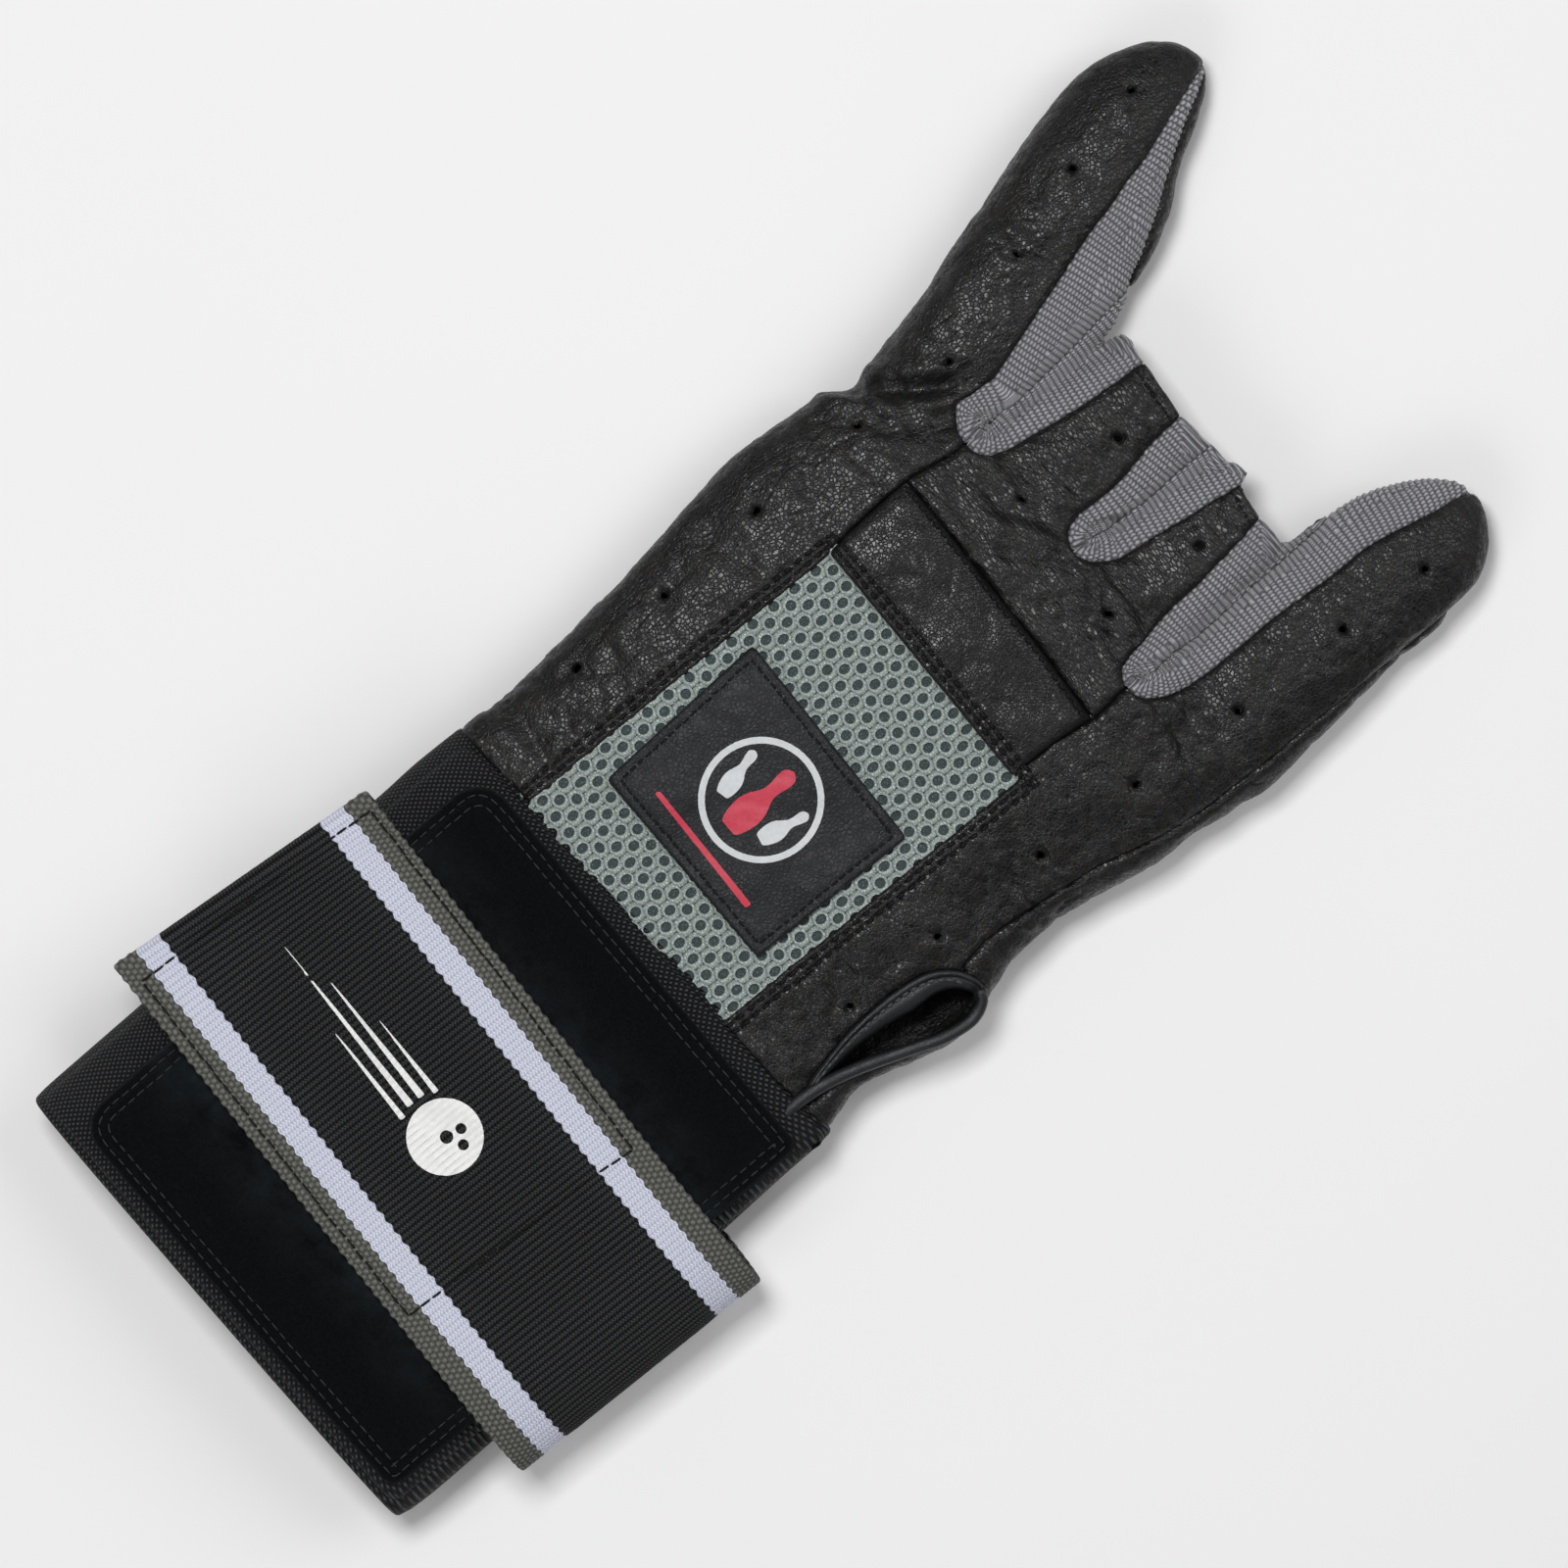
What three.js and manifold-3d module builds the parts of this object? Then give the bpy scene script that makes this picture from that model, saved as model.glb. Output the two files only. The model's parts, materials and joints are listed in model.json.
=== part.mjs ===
// A right-hand bowling glove with a wrist support, lying on its back with the palm up.
// The little and index fingers are closed, the ring and middle fingers end open at half length,
// and a padded cuff with a striped webbing strap holds the wrist.
// Millimetres, +Z up, +Y from the cuff to the fingertips, +X towards the thumb.
import * as THREE from "three";
import { mergeVertices } from "three/addons/utils/BufferGeometryUtils.js";
import Module from "manifold-3d";

const wasm = await Module();
wasm.setup();

// Driving sizes of the hand
const LITTLE_WIDTH = 23.5;
const RING_WIDTH = 27.8;
const MIDDLE_WIDTH = 21.4;
const INDEX_WIDTH = 28.2;
const LITTLE_LENGTH = 82;
const RING_LENGTH = 40;
const MIDDLE_LENGTH = 40;
const INDEX_LENGTH = 70;
const LITTLE_DEPTH = 17;
const RING_DEPTH = 17;
const MIDDLE_DEPTH = 16.5;
const INDEX_DEPTH = 17.5;
const LITTLE_LEAN = -0.19;
const INDEX_LEAN = -0.01;
const PALM_LENGTH = 100;
const PALM_DEPTH = 21;
const FINGER_ROOT = 0.884 * PALM_LENGTH; // where the fingers' tables start
const PALM_WIDTH = LITTLE_WIDTH + RING_WIDTH + MIDDLE_WIDTH + INDEX_WIDTH;
const WRIST_WIDTH = 0.929 * PALM_WIDTH;
const WRIST_CENTRE = 0.0285 * PALM_WIDTH;

// Walls and clearances
const LEATHER = 1.3;
const SEAM_GAP = 0.3;
const SEAM_HEIGHT = 5.5; // the seam between the palm side and the back
const VENT_RADIUS = 0.7;
const PAD_RISE = 1.3;
const MESH_SINK = 0.5;
const MESH_WALL = 2.2;
const PATCH_WALL = 1.2;
const BINDING_WIDTH = 2.6;

// Mesh window, patch and their stitched rims
const WINDOW_TOP = 0.66 * PALM_LENGTH; // from the wrist seam
const WINDOW_LEFT = 0.257 * PALM_WIDTH;
const WINDOW_RIGHT = 0.238 * PALM_WIDTH;
const WINDOW_SLANT = 0.8;
const PATCH_WIDTH = 41.5;
const PATCH_HEIGHT = 33.4;
const PATCH_BASE = 12.1; // from the wrist seam
const PATCH_SHIFT = -1.5;
const CELL_SIZE = 2.8;
const CELL_STEP = 6.1;
const CELL_SIDES = 6;
const WINDOW_RIM = 2.6;

// Cuff, loop panel and strap
const CUFF_LENGTH = 97;
const CUFF_DEPTH = 19.7;
const CUFF_FLOOR = 2.3;
const CUFF_WALL = 2.4;
const PANEL_WALL = 2.8;
const PANEL_LEFT_MARGIN = 9.2;
const PANEL_RIGHT_MARGIN = 2.4;
const PANEL_END_MARGIN = 2.4;
const PANEL_CORNER = 8.5;
const STRAP_WIDTH = 51; // two-inch webbing
const STRAP_WALL = 2;
const STRAP_TURN = -1.3; // degrees
const STRAP_ALONG = 0.49 * CUFF_LENGTH; // from the wrist seam down to the strap's middle
const STRAP_OVERHANG_LEFT = 4.6;
const STRAP_OVERHANG_RIGHT = 8.2;
const STRAP_SAG = 1.6;
const FOLD_REACH = 15;
const STRAP_SEWN_END = 22; // from the cuff's left edge to the end sewn on underneath
const HEM_LENGTH = 5;
const HEM_SINK = 0.2; // how far the folded hem is sunk into the webbing
const HOOK_WALL = 1.2;
const HOOK_LENGTH = 72;
const HOOK_MARGIN = 2.6;

const PALM_CURVE = 3; // exponents of the rounded sections
const FINGER_CURVE = 2.4;
const CUFF_CURVE = 3.6;
const PALM_SIDES = 28;
const FINGER_SIDES = 16;
const BINDING_STEPS = 28;
const BINDING_SIDES = 6;
const VENT_SIDES = 5;
const CORNER_STEPS = 4;
const STRAP_STEPS = 8;
const FOLD_STEPS = 10;
const WALL_RUN = 6; // how far a hollow's cutter runs past an open end
const EDGE_SHARE = 0.985; // how near a section's edge its upper side is still used
const SETTLE = 0.7; // how far the underside has settled on what it lies on
const LEAST_HALF = 0.3; // half a tip's hollow, at least
const HIGH = 80; // taller than anything here, for cutters

// A table with named columns.
function table(columns, rows) {
  const names = columns.split(" ");
  return rows.map((row) => Object.fromEntries(names.map((name, i) => [name, row[i]])));
}

// Sections: along and the heights are shares of the piece's length and depth,
// left and right are shares of its width from its own axis.
const PALM_SECTIONS = table("along left right top under tilt", [
  [0, -0.436, 0.493, 0.9, 0.11, 0.035],
  [0.124, -0.434, 0.47, 0.94, 0.07, 0],
  [0.184, -0.437, 0.487, 0.96, 0.05, 0],
  [0.264, -0.443, 0.508, 0.98, 0.02, 0],
  [0.324, -0.45, 0.51, 0.99, 0, 0],
  [0.374, -0.458, 0.492, 1, 0, 0],
  [0.504, -0.475, 0.464, 1, 0, 0],
  [0.604, -0.486, 0.472, 1, 0, 0],
  [0.784, -0.486, 0.509, 0.99, 0, 0],
  [0.834, -0.48, 0.514, 0.97, 0, 0],
  [0.904, -0.435, 0.495, 0.92, 0, -0.04],
  [0.944, -0.395, 0.47, 0.87, 0.02, -0.07],
  [0.984, -0.35, 0.43, 0.78, 0.05, -0.1],
  [1.054, -0.22, 0.26, 0.4, 0.24, -0.1],
]);
const LITTLE_SECTIONS = table("along left right top under tilt", [
  [-0.1, -0.42, 0.45, 0.78, 0.1, 0],
  [0, -0.41, 0.495, 0.84, 0.03, 0],
  [0.2, -0.425, 0.634, 0.94, 0, 0],
  [0.4, -0.48, 0.804, 1, 0, 0],
  [0.5, -0.515, 0.779, 1, 0, 0],
  [0.7, -0.545, 0.668, 0.95, 0, 0],
  [0.8, -0.53, 0.51, 0.88, 0.01, 0],
  [0.9, -0.41, 0.379, 0.74, 0.05, 0],
  [0.95, -0.306, 0.306, 0.62, 0.1, 0],
  [0.98, -0.166, 0.26, 0.52, 0.17, 0],
  [1, -0.03, 0.187, 0.4, 0.25, 0],
]);
const RING_SECTIONS = table("along left right top under tilt", [
  [-0.1, -0.49, 0.49, 0.9, 0.04, 0],
  [0.2, -0.49, 0.495, 0.96, 0, 0],
  [0.4, -0.485, 0.495, 0.98, 0, 0],
  [0.6, -0.478, 0.49, 1, 0, 0],
  [0.8, -0.455, 0.5, 1, 0, -0.02],
  [1, -0.42, 0.56, 0.99, 0, -0.04],
]);
const MIDDLE_SECTIONS = table("along left right top under tilt", [
  [-0.1, -0.485, 0.49, 0.9, 0.04, 0],
  [0.2, -0.485, 0.49, 0.96, 0, 0],
  [0.4, -0.485, 0.485, 0.98, 0, 0],
  [0.6, -0.49, 0.48, 1, 0, 0],
  [0.8, -0.475, 0.465, 1, 0, -0.05],
  [1, -0.39, 0.45, 0.99, 0, -0.1],
]);
const INDEX_SECTIONS = table("along left right top under tilt", [
  [-0.1, -0.478, 0.457, 0.9, 0.04, 0],
  [0, -0.478, 0.493, 0.95, 0, 0],
  [0.2, -0.474, 0.525, 1, 0, 0],
  [0.4, -0.49, 0.487, 1, 0, 0],
  [0.6, -0.51, 0.454, 0.98, 0, 0],
  [0.7, -0.49, 0.446, 0.95, 0, 0],
  [0.8, -0.455, 0.424, 0.88, 0.01, 0],
  [0.9, -0.343, 0.355, 0.74, 0.05, 0],
  [0.95, -0.239, 0.254, 0.62, 0.1, 0],
  [0.983, -0.142, 0.123, 0.51, 0.18, 0],
  [1, -0.053, 0.025, 0.4, 0.26, 0],
]);
// The cuff's along runs from the wrist seam towards the forearm.
const CUFF_SECTIONS = table("along left right top under tilt", [
  [0, -0.502, 0.504, 0.94, 0, 0.035],
  [-0.09, -0.503, 0.51, 0.98, 0, 0.03],
  [-0.3, -0.5, 0.52, 1, 0, 0.02],
  [-0.85, -0.486, 0.542, 1, 0, 0.02],
  [-1, -0.482, 0.543, 0.98, 0, 0.022],
]);

// Each part of the hand: where its table starts, and what its shares are taken of.
const KNUCKLE_LEFT = -0.48 * PALM_WIDTH;
const palm = {
  x: 0, y: 0, width: PALM_WIDTH, length: PALM_LENGTH, depth: PALM_DEPTH, floor: 0, lean: 0,
  sections: PALM_SECTIONS, curve: PALM_CURVE, sides: PALM_SIDES,
};
const little = finger(
  KNUCKLE_LEFT, LITTLE_WIDTH, LITTLE_LENGTH, LITTLE_DEPTH, LITTLE_LEAN, LITTLE_SECTIONS,
);
const ring = finger(
  KNUCKLE_LEFT + LITTLE_WIDTH, RING_WIDTH, RING_LENGTH, RING_DEPTH, 0, RING_SECTIONS, true,
);
const middle = finger(
  KNUCKLE_LEFT + LITTLE_WIDTH + RING_WIDTH,
  MIDDLE_WIDTH, MIDDLE_LENGTH, MIDDLE_DEPTH, 0, MIDDLE_SECTIONS, true,
);
const index = finger(
  KNUCKLE_LEFT + LITTLE_WIDTH + RING_WIDTH + MIDDLE_WIDTH,
  INDEX_WIDTH, INDEX_LENGTH, INDEX_DEPTH, INDEX_LEAN, INDEX_SECTIONS,
);
const cuff = {
  x: WRIST_CENTRE, y: -SEAM_GAP, width: WRIST_WIDTH, length: CUFF_LENGTH, depth: CUFF_DEPTH,
  floor: CUFF_FLOOR, lean: 0, sections: CUFF_SECTIONS, curve: CUFF_CURVE, sides: PALM_SIDES,
  openTip: true,
};

function finger(left, width, length, depth, lean, sections, openTip = false) {
  return {
    x: left + width / 2, y: FINGER_ROOT, width, length, depth, floor: 0, lean, sections,
    curve: FINGER_CURVE, sides: FINGER_SIDES, openTip,
  };
}

// The plan point at these shares of a part's length and width.
function plan(part, along, across) {
  const y = part.y + along * part.length;
  return [part.x + part.lean * (y - part.y) + across * part.width, y];
}

// Seams seen from above, each on one part of the hand.
const line = (part, rows) => rows.map(([along, across]) => plan(part, along, across));
const littleToGusset = line(little, [
  [1.04, 0.06], [0.98, 0.12], [0.9, 0.185], [0.8, 0.217], [0.7, 0.25], [0.6, 0.28], [0.5, 0.315],
  [0.4, 0.35], [0.3, 0.37], [0.23, 0.41], [0.19, 0.353], [0.152, 0.32], [0.122, 0.357],
  [0.105, 0.447],
]);
const littleRingCrotch = line(little, [[0.1, 0.56]]);
const ringLeftEdge = line(ring, [
  [0.225, -0.417], [0.3, -0.36], [0.375, -0.331], [0.575, -0.295], [0.725, -0.263], [0.875, -0.237],
  [1.1, -0.22],
]);
const ringRightEdge = line(ring, [
  [1.1, 0.19], [0.9, 0.22], [0.8, 0.235], [0.7, 0.26], [0.55, 0.277], [0.4, 0.27],
]);
const ringMiddleCrotch = line(middle, [
  [0.35, -0.8], [0.305, -0.763], [0.275, -0.7], [0.258, -0.612], [0.27, -0.52], [0.3, -0.47],
  [0.34, -0.39],
]);
const middleLeftEdge = line(middle, [
  [0.43, -0.335], [0.575, -0.31], [0.75, -0.25], [0.9, -0.21], [1.1, -0.18],
]);
const middleRightEdge = line(middle, [
  [1.1, 0.13], [0.95, 0.14], [0.8, 0.19], [0.575, 0.23], [0.35, 0.266], [0.15, 0.315],
]);
const middleIndexCrotch = line(index, [
  [0.07, -0.635], [0.045, -0.605], [0.03, -0.56], [0.028, -0.51], [0.035, -0.455], [0.05, -0.4],
  [0.072, -0.35], [0.12, -0.29],
]);
const gussetToIndex = line(index, [
  [0.2, -0.275], [0.3, -0.267], [0.4, -0.258], [0.5, -0.243], [0.6, -0.225], [0.7, -0.205],
  [0.8, -0.14], [0.9, -0.09], [0.97, -0.04], [1.04, -0.03],
]);
const littleSeam = line(palm, [
  [0.93, -0.256], [0.88, -0.266], [0.84, -0.27], [0.78, -0.27], [0.72, -0.267],
]);
const indexSeam = line(palm, [
  [0.9, 0.241], [0.85, 0.243], [0.8, 0.238], [0.75, 0.234], [0.7, 0.23],
]);
const padSeam = line(palm, [[0.842, -0.27], [0.838, -0.1], [0.834, 0.05], [0.83, 0.243]]);
const sideSeam = line(palm, [
  [1.3, 0.492], [1.15, 0.494], [1, 0.492], [0.93, 0.488], [0.86, 0.481], [0.8, 0.474],
  [0.75, 0.463], [0.7, 0.45], [0.65, 0.44], [0.6, 0.431], [0.53, 0.423], [0.45, 0.417],
  [0.4, 0.421], [0.374, 0.43],
]);
// The back's leather shows beyond the knit on the little finger's inner side.
const gussetToBack = line(little, [
  [1.04, 0.14], [0.97, 0.2], [0.9, 0.3], [0.84, 0.375], [0.78, 0.47], [0.72, 0.57], [0.64, 0.665],
  [0.59, 0.72], [0.56, 0.79],
]);
const thumbHole = line(palm, [
  [0.09, 0.418], [0.15, 0.402], [0.2, 0.397], [0.26, 0.398], [0.31, 0.404], [0.35, 0.415],
  [0.375, 0.438], [0.382, 0.468], [0.37, 0.488], [0.34, 0.497], [0.29, 0.493], [0.24, 0.482],
  [0.19, 0.465], [0.14, 0.446],
]);
// Vent holes: along and across on each part.
const VENTS = [
  [little, [[0.835, -0.15], [0.637, -0.155], [0.432, -0.06], [0.176, 0.05]]],
  [ring, [[0.71, 0.06], [0.23, -0.04]]],
  [middle, [[0.68, -0.01], [0.197, -0.05]]],
  [index, [[0.777, 0.14], [0.53, 0.095], [0.203, 0.04]]],
  [palm, [
    [0.842, -0.397], [0.614, -0.398], [0.397, -0.393], [0.194, -0.391], [0.812, 0.375],
    [0.607, 0.365], [0.382, 0.36], [0.192, 0.352],
  ]],
];

// From a three.js geometry to a solid, and back.
function solid(geometry) {
  const g = geometry.index ? geometry.toNonIndexed() : geometry.clone();
  g.deleteAttribute("normal");
  g.deleteAttribute("uv");
  const merged = mergeVertices(g, 1e-4);
  return new wasm.Manifold(
    new wasm.Mesh({
      numProp: 3,
      vertProperties: new Float32Array(merged.attributes.position.array),
      triVerts: new Uint32Array(merged.index.array),
    }),
  );
}

function geometryOf(manifold) {
  const largest = manifold.decompose().sort((a, b) => b.volume() - a.volume())[0];
  const mesh = largest.getMesh();
  const geometry = new THREE.BufferGeometry();
  geometry.setAttribute("position", new THREE.BufferAttribute(mesh.vertProperties, 3));
  geometry.setIndex(new THREE.BufferAttribute(mesh.triVerts, 1));
  geometry.computeVertexNormals();
  return geometry;
}

const together = (solids) => solids.reduce((sum, next) => sum.add(next));

// One rounded section of a part, as points round it, grown by so many millimetres.
// Leather and cloth settle flat where they would sink into the floor.
function sectionRing(part, row, grow, push) {
  const length = part.length + (part.openTip ? 0 : grow);
  const y = part.y + row.along * length + push;
  const axis = part.x + part.lean * row.along * part.length;
  const top = part.floor + row.top * part.depth;
  const under = part.floor + row.under * part.depth - SETTLE;
  const halfWidth = Math.max(((row.right - row.left) * part.width) / 2 + grow, LEAST_HALF);
  const halfDepth = Math.max((top - under) / 2 + grow, LEAST_HALF);
  const middleX = axis + ((row.left + row.right) / 2) * part.width;
  const power = 2 / part.curve;
  return Array.from({ length: part.sides }, (_, k) => {
    const angle = (2 * Math.PI * k) / part.sides;
    const [c, s] = [Math.cos(angle), Math.sin(angle)];
    const x = middleX + halfWidth * Math.sign(c) * Math.abs(c) ** power;
    const z = (top + under) / 2 + halfDepth * Math.sign(s) * Math.abs(s) ** power;
    return [x, y + row.tilt * (x - middleX), Math.max(z, part.floor - grow)];
  });
}

// A closed skin through the sections. The start and finish can run on past the ends.
function loft(part, grow = 0, startRun = 0, finishRun = 0) {
  const rows = part.sections;
  const heading = Math.sign(rows.at(-1).along - rows[0].along);
  const rings = rows.map((row, i) => {
    const push = (i === rows.length - 1 ? finishRun : 0) - (i === 0 ? startRun : 0);
    return sectionRing(part, row, grow, heading * push);
  });
  const n = part.sides;
  const points = rings.flat();
  const centre = (ringPoints) =>
    [0, 1, 2].map((axis) => ringPoints.reduce((sum, p) => sum + p[axis], 0) / n);
  points.push(centre(rings[0]), centre(rings.at(-1)));
  const [first, last] = [points.length - 2, points.length - 1];
  const faces = [];
  for (let k = 0; k < n; k++) {
    const next = (k + 1) % n;
    for (let i = 0; i < rings.length - 1; i++) {
      const [a, b] = [i * n + k, i * n + next];
      faces.push([a, a + n, b], [b, a + n, b + n]);
    }
    const end = (rings.length - 1) * n;
    faces.push([first, k, next], [last, end + next, end + k]);
  }
  if (heading < 0) faces.forEach((face) => face.reverse());
  const geometry = new THREE.BufferGeometry();
  geometry.setAttribute("position", new THREE.Float32BufferAttribute(points.flat(), 3));
  geometry.setIndex(faces.flat());
  return solid(geometry);
}

// The whole hand grown by so many millimetres. The hollow runs out of the open ends.
function hand(grow, run = 0) {
  return together([
    loft(palm, grow, run),
    loft(little, grow),
    loft(ring, grow, 0, run),
    loft(middle, grow, 0, run),
    loft(index, grow),
  ]);
}

// A polygon moved inwards by the distance, corner by corner.
function inset(points, distance) {
  const area = points.reduce((sum, p, i) => {
    const q = points[(i + 1) % points.length];
    return sum + p[0] * q[1] - q[0] * p[1];
  }, 0);
  const turn = Math.sign(area);
  return points.map((p, i) => {
    const before = points[(i + points.length - 1) % points.length];
    const after = points[(i + 1) % points.length];
    const u = new THREE.Vector2(p[0] - before[0], p[1] - before[1]).normalize();
    const v = new THREE.Vector2(after[0] - p[0], after[1] - p[1]).normalize();
    const bisector = new THREE.Vector2(-(u.y + v.y), u.x + v.x).normalize();
    const reach = distance / Math.max(bisector.dot(new THREE.Vector2(-u.y, u.x)), 0.4);
    return [p[0] + turn * reach * bisector.x, p[1] + turn * reach * bisector.y];
  });
}

// An upright cutter over a plan outline.
function prism(points, from = SEAM_HEIGHT + SEAM_GAP / 2, to = HIGH) {
  const shape = new THREE.Shape(points.map(([x, y]) => new THREE.Vector2(x, y)));
  const geometry = new THREE.ExtrudeGeometry(shape, { depth: to - from, bevelEnabled: false });
  geometry.translate(0, 0, from);
  return solid(geometry);
}

const panelCutter = (points) => prism(inset(points, SEAM_GAP / 2));

function rectangle(width, height, centreX, base, turn = 0) {
  const angle = THREE.MathUtils.degToRad(turn);
  return [[-1, 0], [1, 0], [1, 1], [-1, 1]].map(([side, up]) => {
    const [x, y] = [(side * width) / 2, up * height];
    return [
      centreX + x * Math.cos(angle) - y * Math.sin(angle),
      base + x * Math.sin(angle) + y * Math.cos(angle),
    ];
  });
}

// Outlines of the panels, walked round along their seams.
const OUTSIDE = 0.75 * PALM_WIDTH; // beyond any outline
const FAR_TIP = FINGER_ROOT + 1.2 * LITTLE_LENGTH;
const WRIST_RUN = -8; // the cutters start below the wrist seam
const windowCorners = [
  [-WINDOW_LEFT - WINDOW_SLANT, WRIST_RUN], [WINDOW_RIGHT - WINDOW_SLANT, WRIST_RUN],
  [WINDOW_RIGHT, WINDOW_TOP], [-WINDOW_LEFT, WINDOW_TOP],
];
const [windowFootLeft, windowFootRight, windowHeadRight, windowHeadLeft] = windowCorners;

const littlePanel = [
  windowFootLeft, windowHeadLeft, ...littleSeam.toReversed(), ...littleRingCrotch,
  ...littleToGusset.toReversed(), [littleToGusset[0][0], FAR_TIP], [-OUTSIDE, FAR_TIP],
  [-OUTSIDE, WRIST_RUN],
];
const centrePanel = [
  ...littleSeam.slice(0, 2).toReversed(), ...littleRingCrotch, ...ringLeftEdge, ...ringRightEdge,
  ...ringMiddleCrotch, ...middleLeftEdge, ...middleRightEdge, ...middleIndexCrotch.slice(0, 4),
  ...indexSeam.slice(0, 2), ...padSeam.toReversed(),
];
const padPanel = [
  windowHeadLeft, windowHeadRight, ...indexSeam.slice(2).toReversed(), ...padSeam.toReversed(),
  ...littleSeam.slice(3),
];
const indexPanel = [
  windowFootRight, [sideSeam.at(-1)[0], WRIST_RUN], ...sideSeam.toReversed(),
  [sideSeam[0][0], FAR_TIP], [gussetToIndex.at(-1)[0], FAR_TIP], ...gussetToIndex.toReversed(),
  ...middleIndexCrotch.slice(3).toReversed(), ...indexSeam, windowHeadRight,
];

const littleRingPanel = [
  ...littleToGusset, ...littleRingCrotch, ...ringLeftEdge, ...gussetToBack.toReversed(),
];
const ringMiddlePanel = [...ringRightEdge, ...ringMiddleCrotch, ...middleLeftEdge];
const middleIndexPanel = [
  [middleRightEdge[0][0], FAR_TIP], ...middleRightEdge, ...middleIndexCrotch, ...gussetToIndex,
  [gussetToIndex.at(-1)[0], FAR_TIP],
];
const panels = [
  littlePanel, centrePanel, padPanel, indexPanel, windowCorners, littleRingPanel, ringMiddlePanel,
  middleIndexPanel,
];

// The height of a part's upper surface at a place between two of its sections.
function surfaceHeight(part, x, y) {
  const along = (y - part.y) / part.length;
  const after = Math.max(part.sections.findIndex((row) => row.along >= along), 1);
  const [a, b] = [part.sections[after - 1], part.sections[after]];
  const mix = (along - a.along) / (b.along - a.along);
  const value = (name) => a[name] + mix * (b[name] - a[name]);
  const halfWidth = ((value("right") - value("left")) * part.width) / 2;
  const halfDepth = ((value("top") - value("under")) * part.depth) / 2;
  const middleX = part.x + ((value("right") + value("left")) * part.width) / 2;
  const across = Math.min(Math.abs((x - middleX) / halfWidth), EDGE_SHARE);
  const rise = (1 - across ** part.curve) ** (1 / part.curve);
  return part.floor + value("under") * part.depth + halfDepth * (1 + rise);
}

// The leather hand
const outer = hand(0);
const shell = outer.subtract(hand(-LEATHER, WALL_RUN));

const bindingPath = new THREE.CatmullRomCurve3(
  thumbHole.map(([x, y]) => new THREE.Vector3(x, y, surfaceHeight(palm, x, y))), true,
);
const bindingTube = (radius) =>
  solid(new THREE.TubeGeometry(bindingPath, BINDING_STEPS, radius, BINDING_SIDES, true));
const bindingRoom = bindingTube(BINDING_WIDTH / 2 + SEAM_GAP).add(prism(thumbHole));

const ventPlaces = VENTS.flatMap(([part, rows]) =>
  rows.map(([along, across]) => plan(part, along, across)),
);
function upright(radius, sides, x, y) {
  const geometry = new THREE.CylinderGeometry(radius, radius, HIGH, sides);
  geometry.rotateX(Math.PI / 2);
  geometry.translate(x, y, SEAM_HEIGHT + HIGH / 2);
  return solid(geometry);
}
const vents = together(ventPlaces.map(([x, y]) => upright(VENT_RADIUS, VENT_SIDES, x, y)));

const palmLeather = (outline) =>
  shell.intersect(panelCutter(outline)).subtract(vents).subtract(bindingRoom);
const gusset = (outline) => shell.intersect(panelCutter(outline));

function handBack() {
  const below = SEAM_HEIGHT - SEAM_GAP / 2;
  const room = together(panels.map((outline) => prism(inset(outline, -SEAM_GAP / 2), below)));
  return shell.subtract(room).subtract(bindingRoom);
}

function palmPad() {
  const raised = hand(PAD_RISE).subtract(hand(-LEATHER, WALL_RUN));
  return raised.intersect(panelCutter(padPanel));
}

// The mesh window is coarser here than the real net, and whole under the patch.
const patchOutline = rectangle(PATCH_WIDTH, PATCH_HEIGHT, PATCH_SHIFT, PATCH_BASE);
function palmMesh() {
  const skin = hand(-MESH_SINK).subtract(hand(-MESH_SINK - MESH_WALL, WALL_RUN));
  const rowStep = CELL_STEP * Math.sin(Math.PI / 3);
  const rows = Math.floor((WINDOW_TOP - 2 * WINDOW_RIM) / rowStep);
  const columns = Math.floor((WINDOW_LEFT + WINDOW_RIGHT - 2 * WINDOW_RIM) / CELL_STEP);
  const clear = CELL_SIZE / 2 + SEAM_GAP;
  const cells = [];
  for (let row = 0; row <= rows; row++) {
    for (let column = 0; column <= columns; column++) {
      const stagger = (row % 2) / 2;
      const x = -WINDOW_LEFT + WINDOW_RIM + (column + stagger) * CELL_STEP;
      const y = WINDOW_RIM + row * rowStep;
      const besidePatch = Math.abs(x - PATCH_SHIFT) > PATCH_WIDTH / 2 + clear;
      const pastPatch = y < PATCH_BASE - clear || y > PATCH_BASE + PATCH_HEIGHT + clear;
      const inWindow = x < WINDOW_RIGHT - WINDOW_RIM && y < WINDOW_TOP - WINDOW_RIM;
      if (inWindow && (besidePatch || pastPatch)) {
        cells.push(upright(CELL_SIZE / 2, CELL_SIDES, x, y));
      }
    }
  }
  return skin.intersect(panelCutter(windowCorners)).subtract(together(cells));
}

function palmPatch() {
  const seat = SEAM_GAP - MESH_SINK;
  const skin = hand(seat + PATCH_WALL).subtract(hand(seat, WALL_RUN));
  return skin.intersect(prism(patchOutline));
}

// The cuff and what lies on it
const cuffEdge = (side) => cuff.x + side * cuff.width;

const cuffSleeve = loft(cuff).subtract(loft(cuff, -CUFF_WALL, WALL_RUN, WALL_RUN));

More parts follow.
